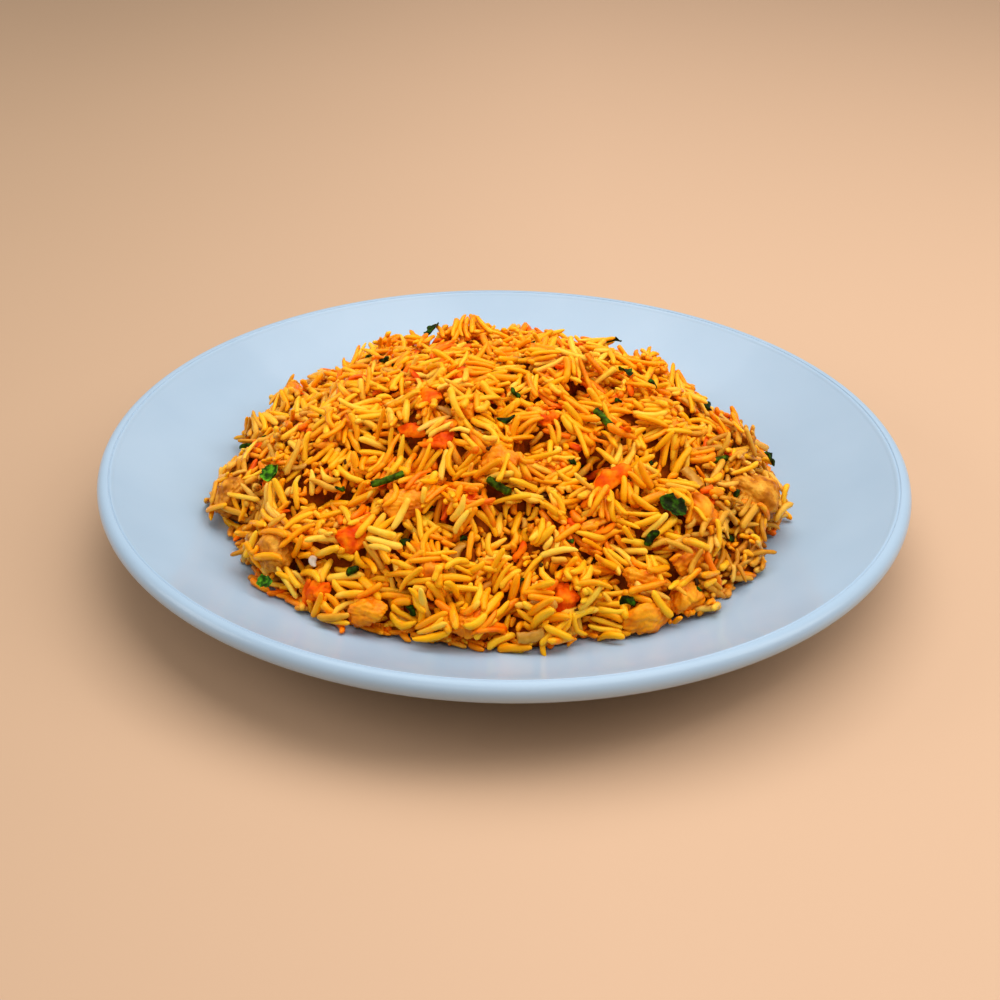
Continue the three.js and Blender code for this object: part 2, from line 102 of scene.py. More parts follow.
@dataclass(frozen=True)
class Surface:
    """Writes closed ring surfaces into meshes."""

    name: str
    slot: Slot

    def from_rings(self, rings: Array, values: dict[str, Array] | None = None) -> bpy.types.Object:
        """Makes one mesh of many closed shells, each a stack of rings with a point at both ends.

        Neighbouring rings are joined by four-sided faces, and the first and last ring of each shell
        by triangles to the middle of that ring pushed to the shell's pole.

        Args:
            rings: Millimetres, shaped (shells, rings, points round, 3). The first and last ring of a
                shell are one repeated point, its pole.
            values: Named numbers for each shell, kept as point attributes.

        Returns:
            The finished object, at the origin.
        """
        shells, stack, around, _ = rings.shape
        inner = stack - 2
        body = rings[:, 1:-1].reshape(shells, inner * around, 3)
        poles = rings[:, [0, -1], 0]
        points = np.concatenate([body, poles], axis=1)
        each = inner * around + 2
        row, turn = np.meshgrid(np.arange(inner - 1), np.arange(around), indexing="ij")
        here, above, after = row * around, (row + 1) * around, (turn + 1) % around
        quads = np.stack([here + turn, here + after, above + after, above + turn], axis=-1).reshape(-1, 4)
        first = np.arange(around)
        nxt = (first + 1) % around
        last = (inner - 1) * around
        start_cap = np.stack([np.full(around, each - 2), nxt, first], axis=-1)
        end_cap = np.stack([np.full(around, each - 1), last + first, last + nxt], axis=-1)
        caps = np.concatenate([start_cap, end_cap])
        offsets = (np.arange(shells) * each)[:, None, None]
        corners = np.concatenate([(quads[None] + offsets).ravel(), (caps[None] + offsets).ravel()])
        sides = np.concatenate([np.full(shells * len(quads), 4), np.full(shells * len(caps), 3)])
        mesh = self._fill(points.reshape(-1, 3), corners, sides)
        for label, numbers in (values or {}).items():
            attribute = mesh.attributes.new(label, "FLOAT", "POINT")
            attribute.data.foreach_set("value", np.repeat(numbers, each).astype(np.float32))
        return self._finish(mesh)

    def _fill(self, points: Array, corners: Array, sides: Array) -> bpy.types.Mesh:
        """Puts points in millimetres and face corners into a new mesh, smooth all over."""
        mesh = bpy.data.meshes.new(self.name)
        mesh.vertices.add(len(points))
        mesh.vertices.foreach_set("co", (points * MM).astype(np.float32).ravel())
        mesh.loops.add(len(corners))
        mesh.loops.foreach_set("vertex_index", corners.astype(np.int32))
        mesh.polygons.add(len(sides))
        starts = np.concatenate([[0], np.cumsum(sides)[:-1]])
        mesh.polygons.foreach_set("loop_start", starts.astype(np.int32))
        mesh.polygons.foreach_set("use_smooth", np.ones(len(sides), bool))
        mesh.update(calc_edges=True)
        mesh.validate()
        return mesh

    def _finish(self, mesh: bpy.types.Mesh) -> bpy.types.Object:
        """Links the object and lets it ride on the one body."""
        piece = bpy.data.objects.new(self.name, mesh)
        bpy.context.scene.collection.objects.link(piece)
        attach(piece, "root")
        LOG.info("%s: %d points", self.name, len(mesh.vertices))
        return piece


@dataclass(frozen=True)
class PlateShape:
    """Sizes of the plate, in millimetres."""

    radius: float = 135.0
    height: float = 30.0
    floor_top: float = 9.0
    floor_underside: float = 4.0
    flat_radius: float = 55.0
    crease_radius: float = 129.5
    crease_height: float = 29.05
    curve_power: float = 2.4
    wall: float = 4.3
    lip_radius: float = 3.2
    groove_turn: float = 104.0
    groove_width: float = 4.0
    groove_depth: float = 0.35
    foot_outer: float = 77.0
    foot_inner: float = 71.0
    foot_slope: float = 1.8

    def well(self, radius: Array) -> Array:
        """Height of the inner surface: flat, then rising with a power of the share of the way out."""
        share = np.clip((radius - self.flat_radius) / (self.crease_radius - self.flat_radius), 0, None)
        return self.floor_top + (self.crease_height - self.floor_top) * share**self.curve_power

    def profile(self) -> Array:
        """The half outline from the axis under the plate, round the foot and lip, back to the axis.

        The lip is an arc of radius R - depth e^-((turn - groove turn) / groove width)^2, in degrees.
        """
        foot = np.array(
            [
                [66.0, self.floor_underside],
                [self.foot_inner - self.foot_slope - 0.6, self.floor_underside - 0.15],
                [self.foot_inner - self.foot_slope, self.floor_underside - 0.7],
                [self.foot_inner - 0.35, 0.35],
                [self.foot_inner + 0.4, 0.0],
                [self.foot_outer - 0.4, 0.0],
                [self.foot_outer + 0.35, 0.35],
                [self.foot_outer + self.foot_slope - 0.2, self.floor_underside - 0.9],
                [self.foot_outer + self.foot_slope + 1.0, self.floor_underside + 0.5],
            ]
        )
        out = np.linspace(82.5, 127.2, 26)
        under = np.stack([out, self.well(out) - self.wall], axis=-1)
        degrees = np.concatenate(
            [np.linspace(-68, 90, 20), np.linspace(94, 114, 11), np.linspace(119, 135, 4)]
        )
        turn = np.radians(degrees)
        lip_x = self.radius - self.lip_radius
        lip_z = self.height - self.lip_radius
        away = (degrees - self.groove_turn) / self.groove_width
        reach = self.lip_radius - self.groove_depth * np.exp(-(away**2))
        lip = np.stack([lip_x + reach * np.cos(turn), lip_z + reach * np.sin(turn)], axis=-1)
        back = np.concatenate([np.linspace(129.2, 120.0, 8), np.linspace(118.0, 4.0, 56)])
        inner = np.stack([back, self.well(back)], axis=-1)
        start = np.array([[0.0, self.floor_underside], [30.0, self.floor_underside]])
        return np.concatenate([start, foot, under, lip, inner, [[0.0, self.floor_top]]])


@dataclass(frozen=True)
class Plate:
    """The glazed plate, turned from one outline."""

    shape: PlateShape
    segments: int = 288

    def build(self) -> bpy.types.Object:
        """Carries the outline round the upright axis: x = r cos t, y = r sin t, z = height."""
        outline = self.shape.profile()
        turn = np.linspace(0, 2 * math.pi, self.segments, endpoint=False)
        rings = np.empty((1, len(outline), self.segments, 3))
        rings[0, ..., 0] = outline[:, :1] * np.cos(turn)
        rings[0, ..., 1] = outline[:, :1] * np.sin(turn)
        rings[0, ..., 2] = outline[:, 1:]
        piece = Surface("glazed_plate", Slot.GLAZE).from_rings(rings)
        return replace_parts(piece, "plate")


@dataclass(frozen=True)
class Hollow:
    """A hollow in the heap that the photograph shows: its place on the skin, depth and breadth."""

    degrees: float
    arc: float
    depth: float
    size: float

    def fall(self, u: Array, v: Array) -> Array:
        """How much lower the skin lies: depth e^-(distance / size)^2, on the skin laid flat."""
        turn = math.radians(self.degrees)
        away = np.hypot(u - self.arc * math.cos(turn), v - self.arc * math.sin(turn))
        return self.depth * np.exp(-((away / self.size) ** 2))


HOLLOWS = (
    Hollow(138, 62, 4.0, 24),
    Hollow(150, 84, 3.5, 20),
    Hollow(57, 60, 2.4, 15),
    Hollow(28, 85, 3.0, 13),
    Hollow(95, 42, 1.6, 30),
    Hollow(-160, 100, 2.0, 18),
    Hollow(-26, 87, 4.5, 5),
    Hollow(-131, 97, 4.5, 5),
    Hollow(-90, 55, 3.0, 4),
    Hollow(-58, 56, 3.0, 5),
    Hollow(-53, 97, 3.0, 5),
    Hollow(158, 90, 2.5, 18),
)


@dataclass
class HeapSkin:
    """The heap's skin: a dome that is broad on top, steep at its edge and lumpy all over.

    A place on it is an arc length from the top and a turn round the upright axis. Laid flat, the
    skin is a disc in u and v, where arc and turn are its polar coordinates.
    """

    plate: PlateShape
    centre_x: float = -1.5
    centre_y: float = -1.0
    radius: float = 96.5
    height: float = 49.0
    shoulder_power: float = 2.34
    edge_power: float = 0.76
    edge_wobble: float = 1.6
    notch_turn: float = -0.60
    notch_depth: float = 4.0
    notch_width: float = 0.13
    lump: float = 1.7
    shares: Array = field(init=False)
    arcs: Array = field(init=False)

    def __post_init__(self) -> None:
        """Tables the arc length from the top against the share of the radius."""
        self.shares = np.sin(np.linspace(0, math.pi / 2, 801))
        across = self.shares * self.radius
        height = self.rise(self.shares) + self.plate.well(across)
        steps = np.hypot(np.diff(across), np.diff(height))
        self.arcs = np.concatenate([[0.0], np.cumsum(steps)])

    @property
    def reach(self) -> float:
        """Arc length from the top to the plate."""
        return float(self.arcs[-1])

    def rise(self, share: Array) -> Array:
        """Height above the plate: H (1 - share^p)^q."""
        return self.height * np.clip(1 - share**self.shoulder_power, 0, None) ** self.edge_power

    def edge(self, turn: Array, share: Array | float = 1.0) -> Array:
        """The base's radius at a turn: slow and quick wavers, less the notch where the share is near 1."""
        waver = self.edge_wobble * (np.sin(3 * turn + 2.4) + 0.6 * np.sin(8 * turn + 0.9))
        notch = self.notch_depth * np.exp(-(((turn - self.notch_turn) / self.notch_width) ** 2))
        return self.radius + waver - notch * share**6

    def lumps(self, u: Array, v: Array) -> Array:
        """Low mounds as long as a few grains, from crossed waves, less the hollows."""
        crossed = np.sin(u / 9 + 0.4) * np.cos(v / 11 - 0.8) + 0.7 * np.sin((u + v) / 6.5 + 2.1)
        return self.lump * crossed / 1.7 - sum(hollow.fall(u, v) for hollow in HOLLOWS)

    def point(self, arc: Array, turn: Array) -> Array:
        """The skin's point at an arc length and a turn, in millimetres."""
        share = np.interp(arc, self.arcs, self.shares)
        radius = share * self.edge(turn, share)
        lumps = self.lumps(arc * np.cos(turn), arc * np.sin(turn)) * (1 - share**6)
        height = self.plate.well(radius) + self.rise(share) + lumps - np.clip(arc - self.reach, 0, None)
        return np.stack(
            [self.centre_x + radius * np.cos(turn), self.centre_y + radius * np.sin(turn), height], axis=-1
        )

    def axes(self, arc: Array, turn: Array) -> tuple[Array, Array, Array]:
        """The directions down the skin, round it and out of it, from small steps each way."""
        step = 1.2
        safe = np.maximum(arc, 3.0)
        down = self.point(safe + step, turn) - self.point(safe - step, turn)
        swing = step / safe
        round_it = self.point(safe, turn + swing) - self.point(safe, turn - swing)
        out = unit(np.cross(down, round_it))
        down = unit(down)
        return down, np.cross(out, down), out

    def stretch(self, arc: Array) -> Array:
        """How much wider the skin laid flat is than the real one, round the heap."""
        share = np.interp(arc, self.arcs, self.shares)
        return np.maximum(arc, 1e-3) / np.maximum(share * self.radius, 1e-3)

    def nearest(self, places: Array) -> tuple[Array, Array, Array]:
        """Arc, turn and height off the skin of points in millimetres, from the closest profile point."""
        x = places[..., 0] - self.centre_x
        y = places[..., 1] - self.centre_y
        turn = np.arctan2(y, x)
        share = np.clip(np.hypot(x, y) / self.radius, 0, 1)
        radius = np.hypot(x, y) * self.radius / self.edge(turn, share)
        across = self.shares * self.radius
        height = self.rise(self.shares) + self.plate.well(across)
        gap = (radius[..., None] - across) ** 2 + (places[..., 2, None] - height) ** 2
        best = np.argmin(gap, axis=-1)
        arc = self.arcs[best]
        out = self.axes(arc, turn)[2]
        lift = np.sum((places - self.point(arc, turn)) * out, axis=-1)
        return arc, turn, lift


@dataclass
class Clumps:
    """The heap's clumps on the skin laid flat: cells round scattered middles.

    Each cell is raised or lowered, tipped, and its grains combed a way of its own. Some of the borders
    between two cells are deep cracks.
    """

    half_width: float
    cell: float
    reach: float
    random: np.random.Generator
    count: int = 120
    raised: float = 0.8
    tipped: float = 0.27
    crack_depth: float = 8.0
    crack_width: float = 5.2
    crack_share: float = 0.42
    crack_fade: float = 0.25
    pushed: float = 2.6
    slant_range: tuple[float, float] = (-2.4, 2.2)

    def __post_init__(self) -> None:
        """Works out the level and the comb of every cell of the grid, row by row.

        Level = raised_i + tipped_i . (p - m_i) - depth c_ij exp(-((d_j - d_i) / width)^2), where i and
        j are the nearest and the next middle of a point p that waves have pushed a little aside.
        """
        arc = np.sqrt(self.random.random(self.count)) * self.reach
        turn = self.random.random(self.count) * 2 * math.pi
        middles = np.stack([arc * np.cos(turn), arc * np.sin(turn)], axis=-1)
        raised = self.random.normal(0, self.raised, self.count)
        tipped = self.random.normal(0, self.tipped, (self.count, 2))
        comb = self.random.random(self.count) * math.pi
        cracks = self.random.random((self.count, self.count))
        cracks = np.clip((np.minimum(cracks, cracks.T) - 1 + self.crack_share) / self.crack_fade, 0, 1)
        side = int(2 * self.half_width / self.cell)
        places = (np.arange(side) + 0.5) * self.cell - self.half_width
        self.level = np.empty((side, side))
        self.comb = np.empty((side, side))
        for row, place in enumerate(places):
            flat = np.stack([places, np.full(side, place), np.zeros(side)], axis=-1)
            push = np.stack([waves(flat, 4.0, 19.0), waves(flat, 8.0, 17.0)], axis=-1)
            spot = flat[:, :2] + self.pushed * push
            gaps = np.linalg.norm(spot[:, None] - middles[None], axis=-1)
            near, after = np.argpartition(gaps, 1, axis=-1)[:, :2].T
            pick = np.arange(side)
            apart = gaps[pick, after] - gaps[pick, near]
            slant = np.clip(np.sum(tipped[near] * (spot - middles[near]), axis=-1), *self.slant_range)
            crack = cracks[near, after] * np.exp(-((apart / self.crack_width) ** 2))
            self.level[row] = raised[near] + slant - self.crack_depth * crack
            self.comb[row] = comb[near]


class Fall:
    """Long small things dropped one after another onto the skin laid flat, each resting on those below.

    A square grid of cells holds the height of the pile above the skin. Each thing tries several
    places and takes the lowest and flattest. It rests on the two highest spots under it, one on
    each side of its middle, and then raises the cells under it.
    """

    CELL = 0.5
    SAMPLES = np.array([-1.0, -0.75, -0.5, -0.25, 0.0, 0.25, 0.5, 0.75, 1.0])
    MAX_SLOPE = 0.95
    STICK = 0.35
    PERCH = 3.4
    MARGIN = 14.0
    ROUGHNESS = 0.25
    SIDE_SHARE = 0.6
    SPAN_SHARE = 0.94
    MAX_COVER = 0.05
    SINK = 0.3
    SLOPE_COST = 2.2
    COVER_COST = 99.0

    def __init__(self, skin: HeapSkin, floor: float, random: np.random.Generator) -> None:
        """Starts with a slightly rough floor at one height under the skin."""
        self.skin = skin
        self.random = random
        self.half_width = skin.reach + self.MARGIN
        self.count = int(2 * self.half_width / self.CELL)
        self.clumps = Clumps(self.half_width, self.CELL, skin.reach, random)
        rough = random.normal(0, self.ROUGHNESS, (self.count, self.count))
        self.height = floor + self.clumps.level + rough
        self.kept_clear = np.zeros((self.count, self.count), bool)
        self.perch = np.zeros((self.count, self.count))

    def cell(self, place: Array) -> Array:
        """The grid cell of a flat coordinate."""
        return np.clip(((place + self.half_width) / self.CELL).astype(int), 0, self.count - 1)

    def stamp(self, places: Array, clear_share: float) -> None:
        """Raises the pile to points in millimetres, and keeps later things off the middle of them.

        Args:
            places: Points of the piece's skin.
            clear_share: Share of the piece's width, about its middle, that stays uncovered.
        """
        arc, turn, lift = self.skin.nearest(places)
        u = arc * np.cos(turn)
        v = arc * np.sin(turn)
        middle = np.array([u.mean(), v.mean()])
        steps = np.linspace(0.0, 1.0, 12)[:, None]
        for_rows = middle[1] + steps * (v - middle[1])
        for_columns = middle[0] + steps * (u - middle[0])
        top = np.broadcast_to(lift, for_rows.shape)
        seen = lift > np.median(lift)
        np.maximum.at(
            self.height, (self.cell(for_rows[:, seen]), self.cell(for_columns[:, seen])), top[:, seen]
        )
        inner = steps[:, 0] < clear_share
        self.kept_clear[self.cell(for_rows[inner]), self.cell(for_columns[inner])] = True
        self.perch[self.cell(for_rows), self.cell(for_columns)] = self.PERCH

    def drop(self, arc: Array, turn: Array, heading: Array, half: float, radius: float, limit: Array):
        """Lets one thing come to rest at the best of several places.

        Args:
            arc: Arc lengths of the places from the top.
            turn: Turns of the places round the heap.
            heading: Angles of its length from the way down the skin.
            half: Half its length.
            radius: Half its thickness.
            limit: The height above the skin that its middle must stay under, for each place.

        Returns:
            The number of the place taken, the height of its middle above the skin and the slope along
            its length, or None where it would cover a piece that shows or stand too high.
        """
        stretch = self.skin.stretch(arc)[:, None]
        radial = np.stack([np.cos(turn), np.sin(turn)], axis=-1)
        tangent = np.stack([-radial[:, 1], radial[:, 0]], axis=-1)
        middle = arc[:, None] * radial
        swing, cast = np.cos(heading)[:, None], np.sin(heading)[:, None]
        along = swing * radial + cast * stretch * tangent
        across = -cast * radial + swing * stretch * tangent
        sides = np.array([-self.SIDE_SHARE, 0.0, self.SIDE_SHARE]) * radius
        spots = (
            middle[:, None, None]
            + self.SAMPLES[None, :, None, None] * half * self.SPAN_SHARE * along[:, None, None]
            + sides[None, None, :, None] * across[:, None, None]
        )
        columns = self.cell(spots[..., 0])
        rows = self.cell(spots[..., 1])
        covers = self.kept_clear[rows, columns].mean(axis=(1, 2)) > self.MAX_COVER
        limit = limit + self.perch[rows, columns].max(axis=(1, 2))
        under = self.height[rows, columns]
        ground = 0.5 * under.max(axis=2) + 0.5 * under.mean(axis=2)
        place = self.SAMPLES * half
        left, right = place[:4, None], place[None, 5:]
        low, high = ground[:, :4, None], ground[:, None, 5:]
        chord = ((low * right - high * left) / (right - left)).reshape(len(arc), -1)
        lean = ((high - low) / (right - left)).reshape(len(arc), -1)
        best = np.argmax(chord, axis=1)
        pick = np.arange(len(arc))
        slope = np.clip(lean[pick, best], -self.MAX_SLOPE, self.MAX_SLOPE)
        rest = np.maximum(chord[pick, best], ground[:, 4] - self.SINK * radius) + radius * self.STICK
        cost = rest - limit + self.SLOPE_COST * np.abs(slope) + self.COVER_COST * covers
        taken = int(np.argmin(cost))
        if covers[taken] or rest[taken] > limit[taken]:
            return None
        chosen = (middle[taken], along[taken], across[taken])
        self._raise(*chosen, half, radius, float(rest[taken]), float(slope[taken]))
        return taken, float(rest[taken]), float(slope[taken])

    def _raise(
        self, middle: Array, along: Array, across: Array,
        half: float, radius: float, rest: float, slope: float,
    ) -> None:
        """Lifts the cells under a thing to its round top: rest + slope t + sqrt(r^2 - side^2)."""
        reach = half * 1.25 + radius + self.CELL
        low = self.cell(middle - reach)
        high = self.cell(middle + reach) + 1
        columns = (np.arange(low[0], high[0]) + 0.5) * self.CELL - self.half_width - middle[0]
        rows = (np.arange(low[1], high[1]) + 0.5) * self.CELL - self.half_width - middle[1]
        across_map, up_map = np.meshgrid(columns, rows)
        determinant = along[0] * across[1] - along[1] * across[0]
        lengthwise = (across_map * across[1] - up_map * across[0]) / determinant
        sidewise = (up_map * along[0] - across_map * along[1]) / determinant
        taper = radius * np.sqrt(np.clip(1 - (lengthwise / half) ** 4, 0, 1))
        inside = (np.abs(lengthwise) < half) & (np.abs(sidewise) < taper)
        top = rest + slope * lengthwise + np.sqrt(np.clip(taper**2 - sidewise**2, 0, None))
        window = self.height[low[1] : high[1], low[0] : high[0]]
        np.maximum(window, np.where(inside, top, -np.inf), out=window)

    def clump(self, arc: Array, turn: Array) -> tuple[Array, Array]:
        """The clumps' level and comb at places on the skin."""
        rows, columns = self.cell(arc * np.sin(turn)), self.cell(arc * np.cos(turn))
        return self.clumps.level[rows, columns], self.clumps.comb[rows, columns]


@dataclass(frozen=True)
class GrainForm:
    """One grain's outline, carried along its length: blunt at one end, finer at the other."""

    sides: int = 6
    stations: tuple[float, ...] = (-1.0, -0.965, -0.8, -0.3, 0.3, 0.8, 0.965, 1.0)
    blunt_end: tuple[float, float] = (5.0, 14.0)
    fine_end: tuple[float, float] = (3.6, 10.0)
    taper: float = 0.08
    uneven: float = 0.085
    swerve: float = 0.45
    squash: tuple[float, float] = (0.66, 1.0)
    bow_middle: float = 0.6

    def rings(
        self, half: Array, radius: Array, bend: Array, sag: Array, random: np.random.Generator
    ) -> Array:
        """Rings of many grains about their own middles, with x along the grain and z up.

        At a share s of the half length the radius is R (1 - |s|^e)^0.5 (1 - taper s) w, where e sets
        how blunt an end is and w is a little uneven. With b = 1 - s^2 - bow middle, the middle is
        moved aside by bend b + swerve s^3 and up by sag b, and z is squashed by a share of its own.

        Args:
            half: Half lengths.
            radius: Half thicknesses.
            bend: Sideways bow of each grain.
            sag: Upward bow of each grain.
            random: Draws each grain's bluntness, unevenness, swerve and squash.

        Returns:
            An array shaped (grains, stations, sides, 3).
        """
        count = len(half)
        share = np.array(self.stations)
        turn = np.linspace(0, 2 * math.pi, self.sides, endpoint=False)
        each = (count, 1)
        blunt = np.where(
            share[None] < 0, random.uniform(*self.blunt_end, each), random.uniform(*self.fine_end, each)
        )
        width = np.sqrt(np.clip(1 - np.abs(share) ** blunt, 0, 1)) * (1 - self.taper * share)
        width = width * random.normal(1.0, self.uneven, (count, len(share)))
        swerve = random.normal(0, self.swerve, each) * share**3
        flat = random.uniform(*self.squash, count)
        rings = np.empty((count, len(share), self.sides, 3))
        bow = (1 - share**2)[None, :, None] - self.bow_middle
        round_it = width[:, :, None] * radius[:, None, None]
        rings[..., 0] = (share[None, :] * half[:, None])[..., None]
        rings[..., 1] = round_it * np.cos(turn) + bend[:, None, None] * bow + swerve[..., None]
        rings[..., 2] = round_it * flat[:, None, None] * np.sin(turn) + sag[:, None, None] * bow
        return rings


@dataclass(frozen=True)
class Morsel:
    """A kind of small thing that lies among the grains: a shred of tomato or a fleck of herb or spice."""

    label: str
    slot: Slot
    share: float
    lengths: tuple[float, float]
    widths: tuple[float, float]
    flatness: float
    ragged: float
    sides: int = 8
    stations: tuple[float, ...] = (-1.0, -0.93, -0.65, -0.3, 0.05, 0.4, 0.72, 0.95, 1.0)

    def rings(self, half: Array, radius: Array, random: np.random.Generator) -> Array:
        """Rings of torn, flattened bits, with x along each bit and z up.

        At a share s of the half length the half width is R (1 - |s|^e)^0.5 w with an uneven w, the
        thickness is that times the flatness, and the middle sways by slow sines of s.

        Args:
            half: Half lengths.
            radius: Half widths.
            random: Draws each bit's tears, sways and blunt ends.

        Returns:
            An array shaped (bits, stations, sides, 3).
        """
        count = len(half)
        share = np.array(self.stations)
        turn = np.linspace(0, 2 * math.pi, self.sides, endpoint=False)
        blunt = random.uniform(2.0, 7.0, (count, 1))
        width = np.sqrt(np.clip(1 - np.abs(share) ** blunt, 0, 1))
        width = width * (1 + self.ragged * random.normal(0, 1, (count, len(share))))
        width = np.clip(width, 0, 1.5)
        phase = random.uniform(0, 6.28, (count, 2))
        sway = 0.5 * radius[:, None] * np.sin(2.1 * share + phase[:, :1])
        lift = 0.35 * radius[:, None] * np.sin(2.6 * share + phase[:, 1:])
        rings = np.empty((count, len(share), self.sides, 3))
        edge = 1 + self.ragged * random.normal(0, 0.7, (count, len(share), self.sides))
        reach = width[:, :, None] * radius[:, None, None] * edge
        rings[..., 0] = (share[None, :] * half[:, None])[..., None]
        rings[..., 1] = reach * np.cos(turn) + sway[..., None]
        rings[..., 2] = reach * self.flatness * np.sin(turn) + lift[..., None]
        rings[:, [0, -1]] = rings[:, [0, -1]].mean(axis=2, keepdims=True)
        return rings


SHREDS = Morsel("tomato_shreds", Slot.TOMATO, 0.022, (4.0, 10.5), (1.5, 2.9), 0.55, 0.12)
FLECKS = Morsel("herb_flecks", Slot.HERB, 0.008, (1.8, 4.2), (1.2, 2.2), 0.5, 0.16)
SPICES = Morsel("spice_bits", Slot.HERB, 0.010, (1.0, 2.4), (0.9, 1.5), 0.7, 0.14)
SHALLOTS = Morsel("onion_bits", Slot.ONION, 0.006, (5.0, 9.0), (2.0, 3.2), 0.4, 0.1)
CRUMBS = Morsel(
    "rice_crumbs", Slot.RICE, 0.24, (1.8, 4.6), (1.3, 2.3), 0.85, 0.13, 6, (-1.0, -0.8, -0.15, 0.5, 0.9, 1.0)
)
PALE_BIT = Morsel("pale_bit", Slot.ONION, 0.0, (3.0, 3.0), (3.0, 3.0), 0.7, 0.06)
MORSELS = (SHREDS, FLECKS, SPICES, SHALLOTS, CRUMBS, PALE_BIT)


# Where things came to rest, by the kind's name: arc, turn, heading, half, radius, rest, slope.
Settled = dict[str, list[tuple[float, ...]]]
ROW_SIZE = 7
HALF, REST, SLOPE = 3, 5, 6
ON_TOP = 9.0


def place_rings(rings: Array, middle: Array, along: Array, side: Array, up: Array) -> Array:
    """Rings about their own middles carried into the frame: m + x a + y s + z u."""
    return (
        middle[:, None, None]
        + rings[..., 0:1] * along[:, None, None]
        + rings[..., 1:2] * side[:, None, None]
        + rings[..., 2:3] * up[:, None, None]
    )


@dataclass(frozen=True)
class Spot:
    """One fleck at its own place: turn in degrees, arc from the top, sizes and heading."""

    degrees: float
    arc: float
    length: float
    width: float
    heading: float = 0.0
    kind: Morsel = FLECKS


SPOTS = (
    Spot(178, 95, 4.5, 3.0, 1.0),
    Spot(145, 50, 5.0, 3.0),
    Spot(108, 31, 4.0, 2.4, 0.2),
    Spot(-54, 84, 6.0, 3.0, 1.57),
    Spot(3, 49, 3.6, 2.6),
    Spot(-25, 84, 4.2, 3.2),
    Spot(-73, 16, 3.4, 3.0, 1.57),
    Spot(-87, 29, 6.0, 2.6, 1.4),
    Spot(-112, 80, 3.6, 2.8, 0.3),
    Spot(-138, 70, 3.4, 2.4),
    Spot(-120, 93, 4.0, 3.0, 1.57),
    Spot(-106, 101, 3.4, 2.6),
    Spot(-65, 101, 5.0, 3.0, 1.4),
    Spot(16, 79, 5.0, 3.0, 1.57),
    Spot(98, 70, 4.0, 3.0),
    Spot(-128, 94, 3.0, 3.0, 0.0, PALE_BIT),
)


class GrainKind(Enum):
    """The colours of grain that the heap shows, with the share of each in the middle of the heap."""

    GOLDEN = ("rice_golden", 0.34)
    STRAW = ("rice_straw", 0.27)
    AMBER = ("rice_amber", 0.30)
    STAINED = ("rice_stained", 0.05)
    PALE = ("rice_pale", 0.015)

    def __init__(self, label: str, share: float) -> None:
        """Keeps the piece's name and its share."""
        self.label = label
        self.share = share


